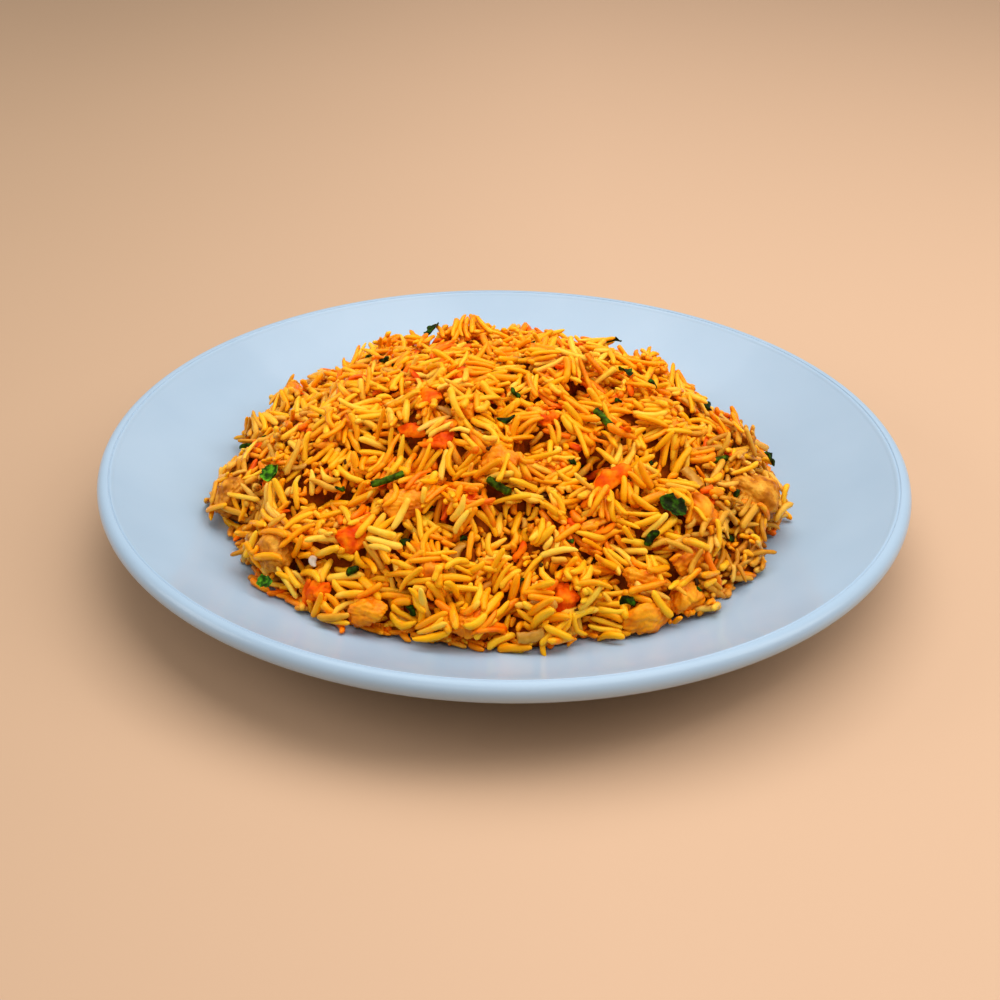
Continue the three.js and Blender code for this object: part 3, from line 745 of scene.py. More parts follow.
@dataclass
class RiceHeap:
    """The rice: a core coloured dark as painted shade of the deep gaps, and grains that have fallen on it and
    lie round its foot.
    """

    skin: HeapSkin
    random: np.random.Generator
    core_depth: float = 4.8
    throws: int = 46000
    tries: int = 9
    limit: float = -2.4
    limit_spread: float = 0.45
    swell: float = 1.6
    swell_size: float = 46.0
    stain_reach: float = 5.0
    edge_grains: int = 360
    spill_turn: float = 3.94
    drawn_in_turn: float = 5.95
    length: float = 9.9
    radius: float = 1.08
    combed_share: float = 0.5
    pair_share: float = 0.38
    broken_share: float = 0.2
    perched_share: float = 0.26
    perched_tip: tuple[float, float] = (0.25, 0.9)
    tip: float = 0.1
    plate_gap: float = 0.75
    shade_start: float = 0.8
    shade_depth: float = 3.6
    curled_share: float = 0.06
    crumb_depth: float = 0.3
    draped: int = 6
    draped_reach: float = 3.6
    form: GrainForm = GrainForm()

    def __post_init__(self) -> None:
        """Prepares the empty fall."""
        self.fall = Fall(self.skin, -self.core_depth, self.random)

    def build_core(self) -> bpy.types.Object:
        """The core: the skin lowered by its depth, roughened by waves, closed along the plate."""
        arcs = np.concatenate([[0.0], np.linspace(1.5, self.skin.reach - 0.5, 90)])
        turn = np.linspace(0, 2 * math.pi, 300, endpoint=False)
        arc_grid, turn_grid = np.meshgrid(arcs, turn, indexing="ij")
        points = self.skin.point(arc_grid, turn_grid)
        out = self.skin.axes(arc_grid, turn_grid)[2]
        rough = 0.9 * waves(points, 2.0, 4.6) + 0.5 * waves(points, 5.0, 2.4)
        rough += np.clip(self.fall.clump(arc_grid, turn_grid)[0], -5.2, 2.0) - 0.4
        points = points + (rough - self.core_depth)[..., None] * out
        points[0] = points[0].mean(axis=0)
        foot_radius = np.linspace(0.97, 0.0, 6)[:, None] * (self.skin.edge(turn) - self.core_depth)[None]
        foot = np.stack(
            [
                self.skin.centre_x + foot_radius * np.cos(turn),
                self.skin.centre_y + foot_radius * np.sin(turn),
                self.skin.plate.well(foot_radius) + 0.4,
            ],
            axis=-1,
        )
        low = self.skin.plate.well(np.hypot(points[..., 0], points[..., 1])) + 0.4
        points[..., 2] = np.maximum(points[..., 2], low)
        rings = np.concatenate([points, foot])[None, ::-1]
        piece = Surface("rice_core", Slot.RICE).from_rings(rings)
        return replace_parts(piece, "rice_heap")

    def pour(self) -> Settled:
        """Drops grains and morsels, many grains beside the one before and nearly parallel to it.

        Returns:
            What settled, by the kind's name; the grains are under "grains".
        """
        settled = {kind.label: [] for kind in MORSELS} | {"grains": []}
        reach = self.skin.reach - 2.0
        last: tuple[float, float, float] | None = None
        for _ in range(self.throws):
            kind = self._draw_kind()
            half, radius = self._draw_size(kind)
            if kind is None and last is not None and self.random.random() < self.pair_share:
                arc, turn, heading = self._beside(last, radius)
            else:
                arc = np.sqrt(self.random.random(self.tries)) * reach
                turn = self.random.random(self.tries) * 2 * math.pi
                heading = self.random.random(self.tries) * 2 * math.pi
                if self.random.random() < self.combed_share:
                    stray = self.random.normal(0, 0.4, self.tries)
                    heading = self.fall.clump(arc, turn)[1] - turn + stray
            arc = np.minimum(arc, reach)
            limit = self.level(arc, turn) + self.limit_spread * float(self.random.normal())
            limit = limit - (self.crumb_depth if kind is CRUMBS else 0.0)
            found = self.fall.drop(arc, turn, heading, half, radius, limit)
            if found is None:
                continue
            taken, rest, slope = found
            place = (float(arc[taken]), float(turn[taken]), float(heading[taken]))
            settled[kind.label if kind else "grains"].append((*place, half, radius, rest, slope))
            last = place if kind is None else last
        return settled

    def level(self, arc: Array, turn: Array) -> Array:
        """How high the pile may grow at a place: the clumps' own level on a slow swell."""
        flat = np.stack([arc * np.cos(turn), arc * np.sin(turn), np.zeros_like(arc)], axis=-1)
        level = self.limit + self.swell * waves(flat, 11.0, self.swell_size)
        return level + np.clip(self.fall.clump(arc, turn)[0], -4.4, 2.2)

    def _draw_kind(self) -> Morsel | None:
        """A morsel in its share of the throws, else None for a grain."""
        draw = float(self.random.random())
        for kind in MORSELS:
            if draw < kind.share:
                return kind
            draw -= kind.share
        return None

    def _draw_size(self, kind: Morsel | None) -> tuple[float, float]:
        """Half length and half width of the next thing; a fifth of the grains are broken short."""
        if kind is not None:
            half = float(self.random.uniform(*kind.lengths)) / 2
            return half, float(self.random.uniform(*kind.widths)) / 2
        stretch = self._near_one(0.15, 0.55, 1.3)
        if self.random.random() < self.broken_share:
            stretch = float(self.random.uniform(0.3, 0.65))
        return self.length / 2 * stretch, self.radius * self._near_one(0.12, 0.75, 1.35)

    def _near_one(self, spread: float, low: float, high: float) -> float:
        """A random factor about 1, between two bounds."""
        return float(np.clip(self.random.normal(1.0, spread), low, high))

    def drape(self, settled: Settled, middles: Array) -> None:
        """Drops some grains on each chunk of chicken, round the middle that stays uncovered.

        Args:
            settled: What settled, by the kind's name; the new grains join the others.
            middles: The chunks' middles in millimetres.
        """
        arcs, turns, _ = self.skin.nearest(middles)
        for arc, turn in zip(np.repeat(arcs, self.draped), np.repeat(turns, self.draped)):
            half, radius = self._draw_size(None)
            spread = self.random.normal(0, self.draped_reach, (2, self.tries))
            heading = self.random.random(self.tries) * 2 * math.pi
            places = (arc + spread[0], turn + spread[1] / max(arc, 8.0), heading)
            found = self.fall.drop(*places, half, radius, np.full(self.tries, ON_TOP))
            if found is not None:
                row = tuple(float(place[found[0]]) for place in places)
                settled["grains"].append((*row, half, radius, *found[1:]))

    def sprinkle(self, settled: Settled) -> None:
        """Drops the flecks that the photograph shows at their own places, on top of what lies there."""
        for spot in SPOTS:
            arc = np.array([spot.arc])
            turn = np.array([math.radians(spot.degrees)])
            heading = np.array([spot.heading])
            half, radius = spot.length / 2, spot.width / 2
            found = self.fall.drop(arc, turn, heading, half, radius, np.array([ON_TOP]))
            if found is None:
                continue
            row = (spot.arc, float(turn[0]), spot.heading, half, radius, *found[1:])
            settled[spot.kind.label].append(row)

    def build_morsels(self, settled: Settled) -> list[bpy.types.Object]:
        """Makes the settled morsels, one piece for each kind."""
        pieces = []
        for kind in MORSELS:
            middle, along, side, up, half, radius, _ = self._stand(settled[kind.label])
            rings = place_rings(kind.rings(half, radius, self.random), middle, along, side, up)
            values = {"tint": self.random.random(len(half))}
            pieces.append(Surface(kind.label, kind.slot).from_rings(rings, values))
            LOG.info("%s: %d", kind.label, len(half))
        return pieces

    def _beside(self, last: tuple[float, float, float], radius: float) -> tuple[Array, Array, Array]:
        """Places next to the last grain, one thickness aside and turned a little."""
        arc, turn, heading = last
        aside = radius * 2.1 * np.where(self.random.random(self.tries) < 0.5, 1, -1)
        along = self.random.normal(0, 2.2, self.tries)
        down = math.cos(heading) * along - math.sin(heading) * aside
        round_it = math.sin(heading) * along + math.cos(heading) * aside
        new_arc = np.hypot(arc + down, round_it)
        new_turn = turn + np.arctan2(round_it, np.maximum(arc + down, 0.5))
        return new_arc, new_turn, heading + self.random.normal(0, 0.22, self.tries)

    def _stand(self, rows: list[tuple[float, ...]] | Array) -> tuple[Array, ...]:
        """Middles, axes and sizes of settled things, without those that would reach into the plate, and the
        painted shade of each: darker the further it lies below the pile's level.
        """
        arc, turn, heading, half, radius, rest, slope = np.array(rows).reshape(-1, ROW_SIZE).T.copy()
        down, round_it, out = self.skin.axes(arc, turn)
        level = np.cos(heading)[:, None] * down + np.sin(heading)[:, None] * round_it
        along = unit(level + slope[:, None] * out)
        side = np.cross(out, level)
        up = np.cross(along, side)
        middle = self.skin.point(arc, turn) + rest[:, None] * out
        shares = np.linspace(-1, 1, 5)[None, :, None]
        ends = middle[:, None] + shares * (half[:, None] * along)[:, None]
        clear = ends[..., 2] - self.skin.plate.well(np.hypot(ends[..., 0], ends[..., 1]))
        keep = clear.min(axis=1) > self.plate_gap
        # painted shade: the further a grain lies below the pile's level, the darker its colour is made
        sunk_shade = np.clip((self.level(arc, turn) - rest - self.shade_start) / self.shade_depth, 0, 1)
        return tuple(column[keep] for column in (middle, along, side, up, half, radius, sunk_shade))

    def _perch(self, settled: list[tuple[float, ...]]) -> Array:
        """Tips the settled grains a little more, and sets some up on one end against the others."""
        rows = np.array(settled)
        tip = self.random.normal(0, self.tip, len(rows))
        perched = self.random.random(len(rows)) < self.perched_share
        tip = np.where(perched, np.sign(tip) * self.random.uniform(*self.perched_tip, len(rows)), tip)
        rows[:, SLOPE] += tip
        rows[:, REST] += np.where(perched, 0.3 * np.abs(tip) * rows[:, HALF], 0.0)
        return rows

    def build_grains(self, settled: Settled, red: Array) -> list[bpy.types.Object]:
        """Makes the settled grains, one piece for each kind.

        Args:
            settled: What settled, by the kind's name.
            red: Places of the tomato pieces, in millimetres, which leave stains on the grains near them.

        Returns:
            One object for each kind of grain.
        """
        lying = self._stand(self._perch(settled["grains"]))
        edge = self._edge_rows()
        shreds = self._stand(settled[SHREDS.label])[0]
        both = (np.concatenate(pair) for pair in zip(lying, edge))
        return self._make_kinds(*both, np.concatenate([red, shreds]))

    def _edge_rows(self) -> tuple[Array, ...]:
        """Grains that lie on the plate round the foot of the heap, in two loose layers, the lower one
        darkened with painted shade.
        """
        count = self.edge_grains
        turn = self.random.random(count) * 2 * math.pi
        layer = (np.arange(count) % 3 == 0).astype(float)
        outward = self.random.normal(-4.8, 1.5, count) - 1.6 * layer
        outward += 2.6 * np.exp(-(((turn - self.spill_turn) / 0.07) ** 2))
        outward -= 3.2 * np.exp(-(((turn - self.drawn_in_turn) / 0.35) ** 2))
        radius_out = self.skin.edge(turn) + outward
        half = self.length / 2 * np.clip(self.random.normal(0.92, 0.14, count), 0.5, 1.15)
        thick = self.radius * np.clip(self.random.normal(1.0, 0.08, count), 0.8, 1.2)
        heading = turn + math.pi / 2 + self.random.normal(0, 0.75, count)
        x = self.skin.centre_x + radius_out * np.cos(turn)
        y = self.skin.centre_y + radius_out * np.sin(turn)
        slope = self.skin.plate.well(np.hypot(x, y) + 1) - self.skin.plate.well(np.hypot(x, y))
        radial = np.stack([np.cos(turn), np.sin(turn), slope], axis=-1)
        tangent = np.stack([-np.sin(turn), np.cos(turn), np.zeros(count)], axis=-1)
        out = unit(np.cross(radial, tangent))
        swing = heading - turn
        along = unit(np.cos(swing)[:, None] * unit(radial) + np.sin(swing)[:, None] * tangent)
        tilt = self.random.normal(0, 0.1, count) + 0.16 * layer
        along = unit(along + tilt[:, None] * out)
        side = unit(np.cross(out, along))
        up = np.cross(along, side)
        lift = thick * (1.0 + 1.75 * layer) + np.abs(tilt) * half
        middle = np.stack([x, y, self.skin.plate.well(np.hypot(x, y))], axis=-1) + lift[:, None] * out
        # the lower layer of edge grains gets a fixed painted shade, as if shaded by the layer above
        return middle, along, side, up, half, thick, 0.35 * (1 - layer)

    def _make_kinds(
        self, middle: Array, along: Array, side: Array, up: Array,
        half: Array, radius: Array, sunk_shade: Array, red: Array,
    ) -> list[bpy.types.Object]:
        """Shares the grains out by kind, paler towards the heap's two ends, and makes each kind."""
        count = len(half)
        nearest = np.linalg.norm(middle[:, None] - red[None], axis=-1).min(axis=1)
        by_tomato = np.clip(1 - (nearest - 2.5) / self.stain_reach, 0, 1)
        right = (middle[:, 0] - 56 - 0.2 * middle[:, 1]) / 22
        left = (-middle[:, 0] - 58) / 22
        pale = np.clip(np.maximum(right, left), 0, 1)
        share = np.array([kind.share for kind in GrainKind])[:, None] * np.ones(count)
        patch = 1.4 * waves(middle, 7.0, 38.0) + self.random.normal(0, 0.12, count)
        share[0] *= 1 - 0.8 * pale
        share[1] *= np.clip(1 + 1.6 * patch, 0.1, 3) * (1 - 0.6 * pale)
        share[2] *= np.clip(1 - 1.6 * patch, 0.1, 3) * (1 - 0.8 * pale)
        share[3] *= (0.1 + 4 * by_tomato) * (1 - 0.95 * pale)
        share[4] += 0.42 * pale
        bounds = np.cumsum(share / share.sum(axis=0), axis=0)
        kind = (self.random.random(count)[None] > bounds[:-1]).sum(axis=0)
        bend = self.random.normal(0, 0.65, count)
        sag = self.random.normal(0.15, 0.35, count)
        curl = self.random.random(count) < self.curled_share
        bend = np.where(curl, np.sign(bend) * (1.7 + np.abs(bend)), bend)
        stain_and_shade = 0.5 * by_tomato * (1 - pale) + 0.7 * waves(middle, 3.0, 24.0)
        stain_and_shade = stain_and_shade + self.random.normal(0.25, 0.22, count)
        # painted shade: grains at the heap's right end are darkened, as if in the shade of the big chicken
        # chunk there
        stain_and_shade += 0.4 * np.clip(right, 0, 1)
        rings = place_rings(self.form.rings(half, radius, bend, sag, self.random), middle, along, side, up)
        values = {"tint": self.random.random(count), "stain_and_shade": np.clip(stain_and_shade, 0, 1), "sunk_shade": sunk_shade}
        pieces = []
        for number, name in enumerate(GrainKind):
            chosen = kind == number
            own = {key: value[chosen] for key, value in values.items()}
            pieces.append(Surface(name.label, Slot.RICE).from_rings(rings[chosen], own))
            LOG.info("%s: %d grains", name.label, int(chosen.sum()))
        return pieces


@dataclass
class Solid:
    """A CAD piece read for its form: its middle, its own axes and half sizes, and its corners."""

    name: str
    skin: HeapSkin

    def __post_init__(self) -> None:
        """Reads the node's corners in millimetres and finds its axes, longest first."""
        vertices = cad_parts[self.name].data.vertices
        flat = np.empty(len(vertices) * 3)
        vertices.foreach_get("co", flat)
        corners = np.unique(np.round(flat.reshape(-1, 3) / MM, 4), axis=0)
        self.middle = (corners.min(axis=0) + corners.max(axis=0)) / 2
        self.middle = 0.5 * self.middle + 0.5 * corners.mean(axis=0)
        offsets = corners - corners.mean(axis=0)
        axes = np.linalg.svd(offsets, full_matrices=False)[2]
        arc, turn, _ = self.skin.nearest(self.middle[None])
        out = self.skin.axes(arc, turn)[2][0]
        if axes[2] @ out < 0:
            axes[2] = -axes[2]
        axes[1] = np.cross(axes[2], axes[0])
        self.axes = axes
        self.corners = (corners - self.middle) @ axes.T
        self.low = self.corners.min(axis=0)
        self.high = self.corners.max(axis=0)
        self.half = np.maximum((self.high - self.low) / 2, 0.3)

    def world(self, local: Array) -> Array:
        """Points along the piece's own axes as points of the frame, in millimetres."""
        return self.middle + local @ self.axes


@dataclass(frozen=True)
class Topping:
    """A piece in the place of a CAD node. Each kind works out its own rings along that solid's axes."""

    solid: Solid
    slot: Slot
    seed: float
    clear: float
    ending = "skin"

    def rings(self) -> Array:
        """The skin as rings along the longest axis."""
        raise NotImplementedError

    def build(self, fall: Fall) -> bpy.types.Object:
        """Closes both ends, stamps the piece into the pile and puts it in place of its CAD node."""
        points = self.rings()
        points[0] = points[0].mean(axis=0)
        points[-1] = points[-1].mean(axis=0)
        points = self.solid.world(points)
        fall.stamp(points.reshape(-1, 3), self.clear)
        piece = Surface(f"{self.solid.name}_{self.ending}", self.slot).from_rings(points[None])
        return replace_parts(piece, self.solid.name)


@dataclass(frozen=True)
class Chunk(Topping):
    """A chunk whose skin follows its CAD solid, with finer lumps and fibres of its own."""

    lumps: float
    creases: float
    fibres: float
    cuts: int = 7
    cut_power: int = 14
    cut_depths: tuple[float, float] = (0.66, 0.86)
    swell: float = 1.07
    around: int = 72
    stack: int = 44

    def rings(self) -> Array:
        """The skin as rings about the longest axis.

        In each direction the reach is the mean of the solid's corner reaches, weighted by how near
        each corner's direction is. Scattered flat cuts with soft edges take the roundness off it:
        reach = swell (r^-p + sum of (facing / depth)^p)^(-1/p), where p is the cut power. Slow waves
        raise lumps, creases run along the zero lines of a slower wave, and finer waves drawn out
        lengthwise make strands.
        """
        rise = np.linspace(0, math.pi, self.stack)
        turn = np.linspace(0, 2 * math.pi, self.around, endpoint=False)
        rise_grid, turn_grid = np.meshgrid(rise, turn, indexing="ij")
        heading = np.stack(
            [
                -np.cos(rise_grid),
                np.sin(rise_grid) * np.cos(turn_grid),
                np.sin(rise_grid) * np.sin(turn_grid),
            ],
            axis=-1,
        )
        scaled = self.solid.corners / self.solid.half
        reach = np.linalg.norm(scaled, axis=-1)
        nearness = np.exp(13.0 * (heading @ unit(scaled).T - 1))
        mean_reach = (nearness @ reach) / nearness.sum(axis=-1)
        random = np.random.default_rng(int(self.seed) + 50)
        facing = np.clip(heading @ unit(random.normal(size=(self.cuts, 3))).T, 0, None)
        cut = (facing / random.uniform(*self.cut_depths, self.cuts)) ** self.cut_power
        mean_reach = mean_reach ** -float(self.cut_power) + cut.sum(axis=-1)
        mean_reach = self.swell * mean_reach ** (-1 / self.cut_power)
        local = heading * mean_reach[..., None] * self.solid.half
        size = float(np.clip(self.solid.half[0] * 1.9, 7.0, 16.0))
        small = waves(local, self.seed + 4, size / 3.2, 0.2)
        lump = self.lumps * (waves(local, self.seed, size, 0.12) + 0.2 * small)
        fold = waves(local, self.seed + 9, size * 1.5, 0.15) / 0.09
        crease = self.creases * np.exp(-(fold**2))
        strand = waves(local * np.array([0.25, 1.0, 1.0]), self.seed + 2, 2.6)
        length = np.linalg.norm(local, axis=-1, keepdims=True)
        change = lump - crease + self.fibres * strand
        local = local * (1 + np.clip(change[..., None] / np.maximum(length, 1.0), -0.45, 0.6))
        return local


@dataclass(frozen=True)
class Leaf(Topping):
    """A chopped herb leaf: a thin curled blade with a rib and a torn edge."""

    ending = "blade"
    stations: int = 26
    half_round: int = 12
    thickness: float = 0.42
    lifted: float = 0.8

    def rings(self) -> Array:
        """The blade as flat loops along its length.

        At a share s along it, the half width is W (1 - |s|^2.8)^0.7 with a torn edge of quick waves. The
        blade curls up with the distance from the rib to the power 1.6, sways along its length, and
        all of it is lifted off the rice.
        """
        share = np.linspace(-1, 1, self.stations)
        across = np.concatenate([np.linspace(-1, 1, self.half_round), np.linspace(1, -1, self.half_round)])
        face = np.concatenate([-np.ones(self.half_round), np.ones(self.half_round)])
        tear = 1 + 0.1 * np.sin(9 * share + self.seed) + 0.05 * np.sin(21 * share + 2 * self.seed)
        width = self.solid.half[1] * np.clip(1 - np.abs(share) ** 2.8, 0, 1) ** 0.7 * tear
        thick = self.thickness / 2 * np.sqrt(np.clip(1 - np.abs(across) ** 4, 0, 1)) * face
        points = np.empty((self.stations, 2 * self.half_round, 3))
        points[..., 0] = share[:, None] * self.solid.half[0]
        points[..., 1] = width[:, None] * across
        taper = (width / max(self.solid.half[1], 0.1))[:, None]
        curl = 0.9 * np.abs(across) ** 1.6 * taper * self.solid.half[1] * 0.55
        ripple = 0.22 * np.sin(7 * share + self.seed)[:, None] * across
        points[..., 2] = curl + ripple + thick * np.clip((1 - np.abs(share[:, None]) ** 8), 0, 1)
        points[..., 2] += 0.5 * np.sin(2.2 * share + self.seed)[:, None] - curl.mean() + self.lifted
        return points


@dataclass(frozen=True)
class Rod(Topping):
    """A cut of herb stalk or a shred of onion: a bent rod with fine lengthwise ribs and cut ends."""

    ribs: float
    ending = "rod"
    stations: int = 24
    around: int = 20
    lifted: float = 0.7

    def rings(self) -> Array:
        """Rounded-oblong sections carried along the bow that the solid's corners follow."""
        share = np.concatenate([[-1, -0.998], np.linspace(-0.965, 0.965, self.stations - 4), [0.998, 1]])
        turn = np.linspace(0, 2 * math.pi, self.around, endpoint=False)
        bow = np.polyfit(self.solid.corners[:, 0] / self.solid.half[0], self.solid.corners[:, 1], 2)
        spine = np.polyval(bow, share)
        spread = self.solid.corners[:, 1] - np.polyval(bow, self.solid.corners[:, 0] / self.solid.half[0])
        wide = np.abs(spread).max()
        deep = self.solid.half[2]
        end = np.where(np.abs(share) > 0.98, 0.86, 1.0)
        rib = 1 + self.ribs * np.sin(6 * turn)[None] + 0.05 * np.sin(9 * share + self.seed)[:, None]
        points = np.empty((self.stations, self.around, 3))
        points[..., 0] = share[:, None] * self.solid.half[0]
        points[..., 1] = spine[:, None] + wide * end[:, None] * rib * np.cos(turn)
        points[..., 2] = deep * end[:, None] * rib * np.sin(turn) + self.lifted
        return points


def opaque(colour: Colour) -> tuple[float, float, float, float]:
    """A colour with full alpha."""
    return (*colour, 1.0)


@dataclass(frozen=True)
class Nodes:
    """A node tree with short ways to add nodes and feed their inputs."""

    tree: bpy.types.NodeTree

    def add(self, kind: str, feeds: dict | None = None, **settings: object) -> bpy.types.Node:
        """Adds a node of a kind, sets its properties and then feeds its inputs."""
        node = self.tree.nodes.new(kind)
        for label, value in settings.items():
            setattr(node, label, value)
        self.feed(node, feeds or {})
        return node

    def feed(self, node: bpy.types.Node, feeds: dict) -> None:
        """Links each input to the socket given for it, or else sets the input's own value."""
        for label, value in feeds.items():
            if isinstance(value, bpy.types.NodeSocket):
                self.tree.links.new(value, node.inputs[label])
            else:
                node.inputs[label].default_value = value

    def number(self, operation: str, *values: object) -> bpy.types.NodeSocket:
        """The result of a Math node on sockets or numbers."""
        return self.add("ShaderNodeMath", dict(enumerate(values)), operation=operation).outputs[0]

    def share(self, value: bpy.types.NodeSocket, low: float, high: float) -> bpy.types.NodeSocket:
        """How far a value is from one number to another, from 0 to 1."""
        feeds = {"Value": value, "From Min": low, "From Max": high}
        return self.add("ShaderNodeMapRange", feeds).outputs["Result"]

    def mixed(self, share: object, first: object, second: object, blend: str = "MIX") -> bpy.types.NodeSocket:
        """Two colours mixed by a share."""
        node = self.add("ShaderNodeMix", data_type="RGBA", blend_type=blend)
        self.feed(node, {"Factor": share, "A": first, "B": second})
        return node.outputs["Result"]

    def noise(self, place: bpy.types.NodeSocket, scale: object, detail: float = 2.0) -> bpy.types.NodeSocket:
        """A noise texture's value at a place."""
        feeds = {"Vector": place, "Scale": scale, "Detail": detail}
        return self.add("ShaderNodeTexNoise", feeds).outputs["Fac"]

    def bump(self, height: bpy.types.NodeSocket, strength: float, distance_mm: float) -> bpy.types.NodeSocket:
        """The normal of a bumped surface."""
        feeds = {"Strength": strength, "Distance": distance_mm * MM, "Height": height}
        return self.add("ShaderNodeBump", feeds).outputs["Normal"]

    def socket(self, name: str, way: str, kind: str) -> bpy.types.NodeTreeInterfaceSocket:
        """Adds one socket to a group's interface."""
        return self.tree.interface.new_socket(name=name, in_out=way, socket_type=kind)


def new_material(name: str) -> tuple[bpy.types.Material, Nodes, bpy.types.Node]:
    """A new material, its nodes and its Principled BSDF."""
    material = bpy.data.materials.new(name)
    material.use_nodes = True
    return material, Nodes(material.node_tree), material.node_tree.nodes["Principled BSDF"]


@dataclass(frozen=True)
class Finish:
    """A material made of one Principled BSDF fed by procedural colour, roughness and bump, with painted shade
    that darkens the colour towards the outline.
    """

    name: str
    dark: Colour
    mid: Colour
    light: Colour
    roughness: float
    speck: float
    bump: float
    scale: float
    subsurface: float = 0.0
    scatter_mm: float = 1.0
    coat: float = 0.0
    gloss: float = 0.4
    gloss_tint: Colour = (1.0, 0.72, 0.25)
    patch: float = 1.3
    # strength and tint of the painted shade that darkens the surface where it turns away from the camera
    edge: float = 0.56
    rim_shade_tint: Colour = (1.0, 0.66, 0.2)
    reads: tuple[str, ...] = ()

    def make(self) -> bpy.types.Material:
        """Builds the material and returns it."""
        material, nodes, shader = new_material(self.name)
        group = nodes.add("ShaderNodeGroup", node_tree=mottle_group())
        numbers = {"Scale": self.scale, "Speck": self.speck, "Roughness": self.roughness, "Patch": self.patch}
        colours = {"Dark": opaque(self.dark), "Mid": opaque(self.mid), "Light": opaque(self.light)}
        nodes.feed(group, numbers | colours)
        for label in self.reads:
            source = nodes.add("ShaderNodeAttribute", attribute_name=label)
            nodes.feed(group, {label.capitalize(): source.outputs["Fac"]})
        bump = nodes.bump(group.outputs["Height"], self.bump, 0.4)
        # painted shade: the colour is multiplied by the tint more where the surface turns away from the
        # camera
        facing = nodes.add("ShaderNodeLayerWeight", {"Blend": 0.35}).outputs["Facing"]
        rim_shade = nodes.number("MULTIPLY", facing, self.edge)
        base = nodes.mixed(rim_shade, group.outputs["Color"], opaque(self.rim_shade_tint), "MULTIPLY")
        nodes.feed(
            shader,
            {
                "Base Color": base,
                "Roughness": group.outputs["Roughness"],
                "Normal": bump,
                "Subsurface Weight": self.subsurface,
                "Subsurface Radius": (1.0, 0.7, 0.3),
                "Subsurface Scale": self.scatter_mm * MM,
                "Specular IOR Level": self.gloss,
                "Specular Tint": opaque(self.gloss_tint),
                "Coat Weight": self.coat,
                "Coat Roughness": 0.22,
            },
        )
        return material


def mottle_group() -> bpy.types.NodeTree:
    """The shared mottling of cooked food: a tint spread over three colours, patches, specks and bump, and
    painted shade that darkens the colour where a grain lies deep.
    """
    found = bpy.data.node_groups.get("cooked_mottle")
    if found:
        return found
    nodes = Nodes(bpy.data.node_groups.new("cooked_mottle", "ShaderNodeTree"))
    inputs = {"Scale": 1.0, "Speck": 0.2, "Roughness": 0.4, "Patch": 1.3}
    inputs |= {"Tint": 0.5, "Stain_and_shade": 0.5, "Sunk_shade": 0.0}
    for name, value in inputs.items():
        nodes.socket(name, "INPUT", "NodeSocketFloat").default_value = value
    for name in ("Dark", "Mid", "Light"):
        nodes.socket(name, "INPUT", "NodeSocketColor")
    nodes.socket("Color", "OUTPUT", "NodeSocketColor")
    nodes.socket("Roughness", "OUTPUT", "NodeSocketFloat")
    nodes.socket("Height", "OUTPUT", "NodeSocketFloat")
    given = nodes.add("NodeGroupInput").outputs
    place = nodes.add("ShaderNodeTexCoord").outputs["Object"]
    broad = nodes.noise(place, nodes.number("MULTIPLY", given["Scale"], 260.0), 2.0)
    fine = nodes.noise(place, nodes.number("MULTIPLY", given["Scale"], 1500.0), 3.0)
    patch = nodes.number("MULTIPLY", nodes.number("SUBTRACT", broad, 0.5), given["Patch"])
    to_light = nodes.share(nodes.number("ADD", given["Tint"], patch), 0.45, 1.1)
    # the stain input pulls the colour to the dark one; for grains it carries real stain and painted shade
    # together
    to_dark = nodes.share(nodes.number("SUBTRACT", given["Stain_and_shade"], patch), 0.45, 1.0)
    spots = nodes.number("MULTIPLY", nodes.share(fine, 0.54, 0.7), given["Speck"])
    colour = nodes.mixed(to_dark, given["Mid"], given["Dark"])
    colour = nodes.mixed(to_light, colour, given["Light"])
    colour = nodes.mixed(spots, colour, given["Dark"])
    # painted shade: where a grain lies deep, its colour is multiplied by itself, twice, which darkens it
    for _ in range(2):
        colour = nodes.mixed(given["Sunk_shade"], colour, colour, "MULTIPLY")
    swing = nodes.number("MULTIPLY_ADD", broad, 0.3, -0.15)
    rough = nodes.number("ADD", given["Roughness"], swing)
    height = nodes.number("MULTIPLY_ADD", fine, 0.4, broad)
    nodes.add("NodeGroupOutput", {"Color": colour, "Roughness": rough, "Height": height})
    return nodes.tree


@dataclass(frozen=True)
class Glaze:
    """The plate's clear pale blue-white glaze over stoneware."""

    body: Colour = linear(167, 189, 208)
    shade: Colour = linear(161, 184, 204)

    def make(self) -> bpy.types.Material:
        """Builds the material: a faint mottle in colour and roughness, and the slow waver of a glaze."""
        material, nodes, shader = new_material("pale_glaze")
        place = nodes.add("ShaderNodeTexCoord").outputs["Object"]
        cloud = nodes.noise(place, 22.0, 3.0)
        ramp = nodes.add("ShaderNodeValToRGB", {"Fac": cloud})
        for stop, where, colour in zip(ramp.color_ramp.elements, (0.35, 0.68), (self.shade, self.body)):
            stop.position = where
            stop.color = opaque(colour)
        gloss = nodes.add("ShaderNodeMapRange", {"Value": cloud, "To Min": 0.26, "To Max": 0.36})
        nodes.feed(
            shader,
            {
                "Base Color": ramp.outputs["Color"],
                "Roughness": gloss.outputs["Result"],
                "Normal": nodes.bump(nodes.noise(place, 60.0, 1.0), 0.12, 0.5),
                "Specular IOR Level": 0.22,
                "Coat Weight": 0.2,
                "Coat Roughness": 0.07,
            },
        )
        return material


# Each grain's random tint, its stain with painted shade at the heap's right end, and its painted shade for
# lying deep.
GRAIN_VALUES = ("tint", "stain_and_shade", "sunk_shade")


def grain_finish(name: str, dark: Colour, mid: Colour, light: Colour, rough: float, speck: float) -> Finish:
    """The finish of one colour of whole grain."""
    return Finish(
        name, dark, mid, light, rough, speck, 0.25, 1.0, subsurface=0.35, scatter_mm=0.7, reads=GRAIN_VALUES
    )


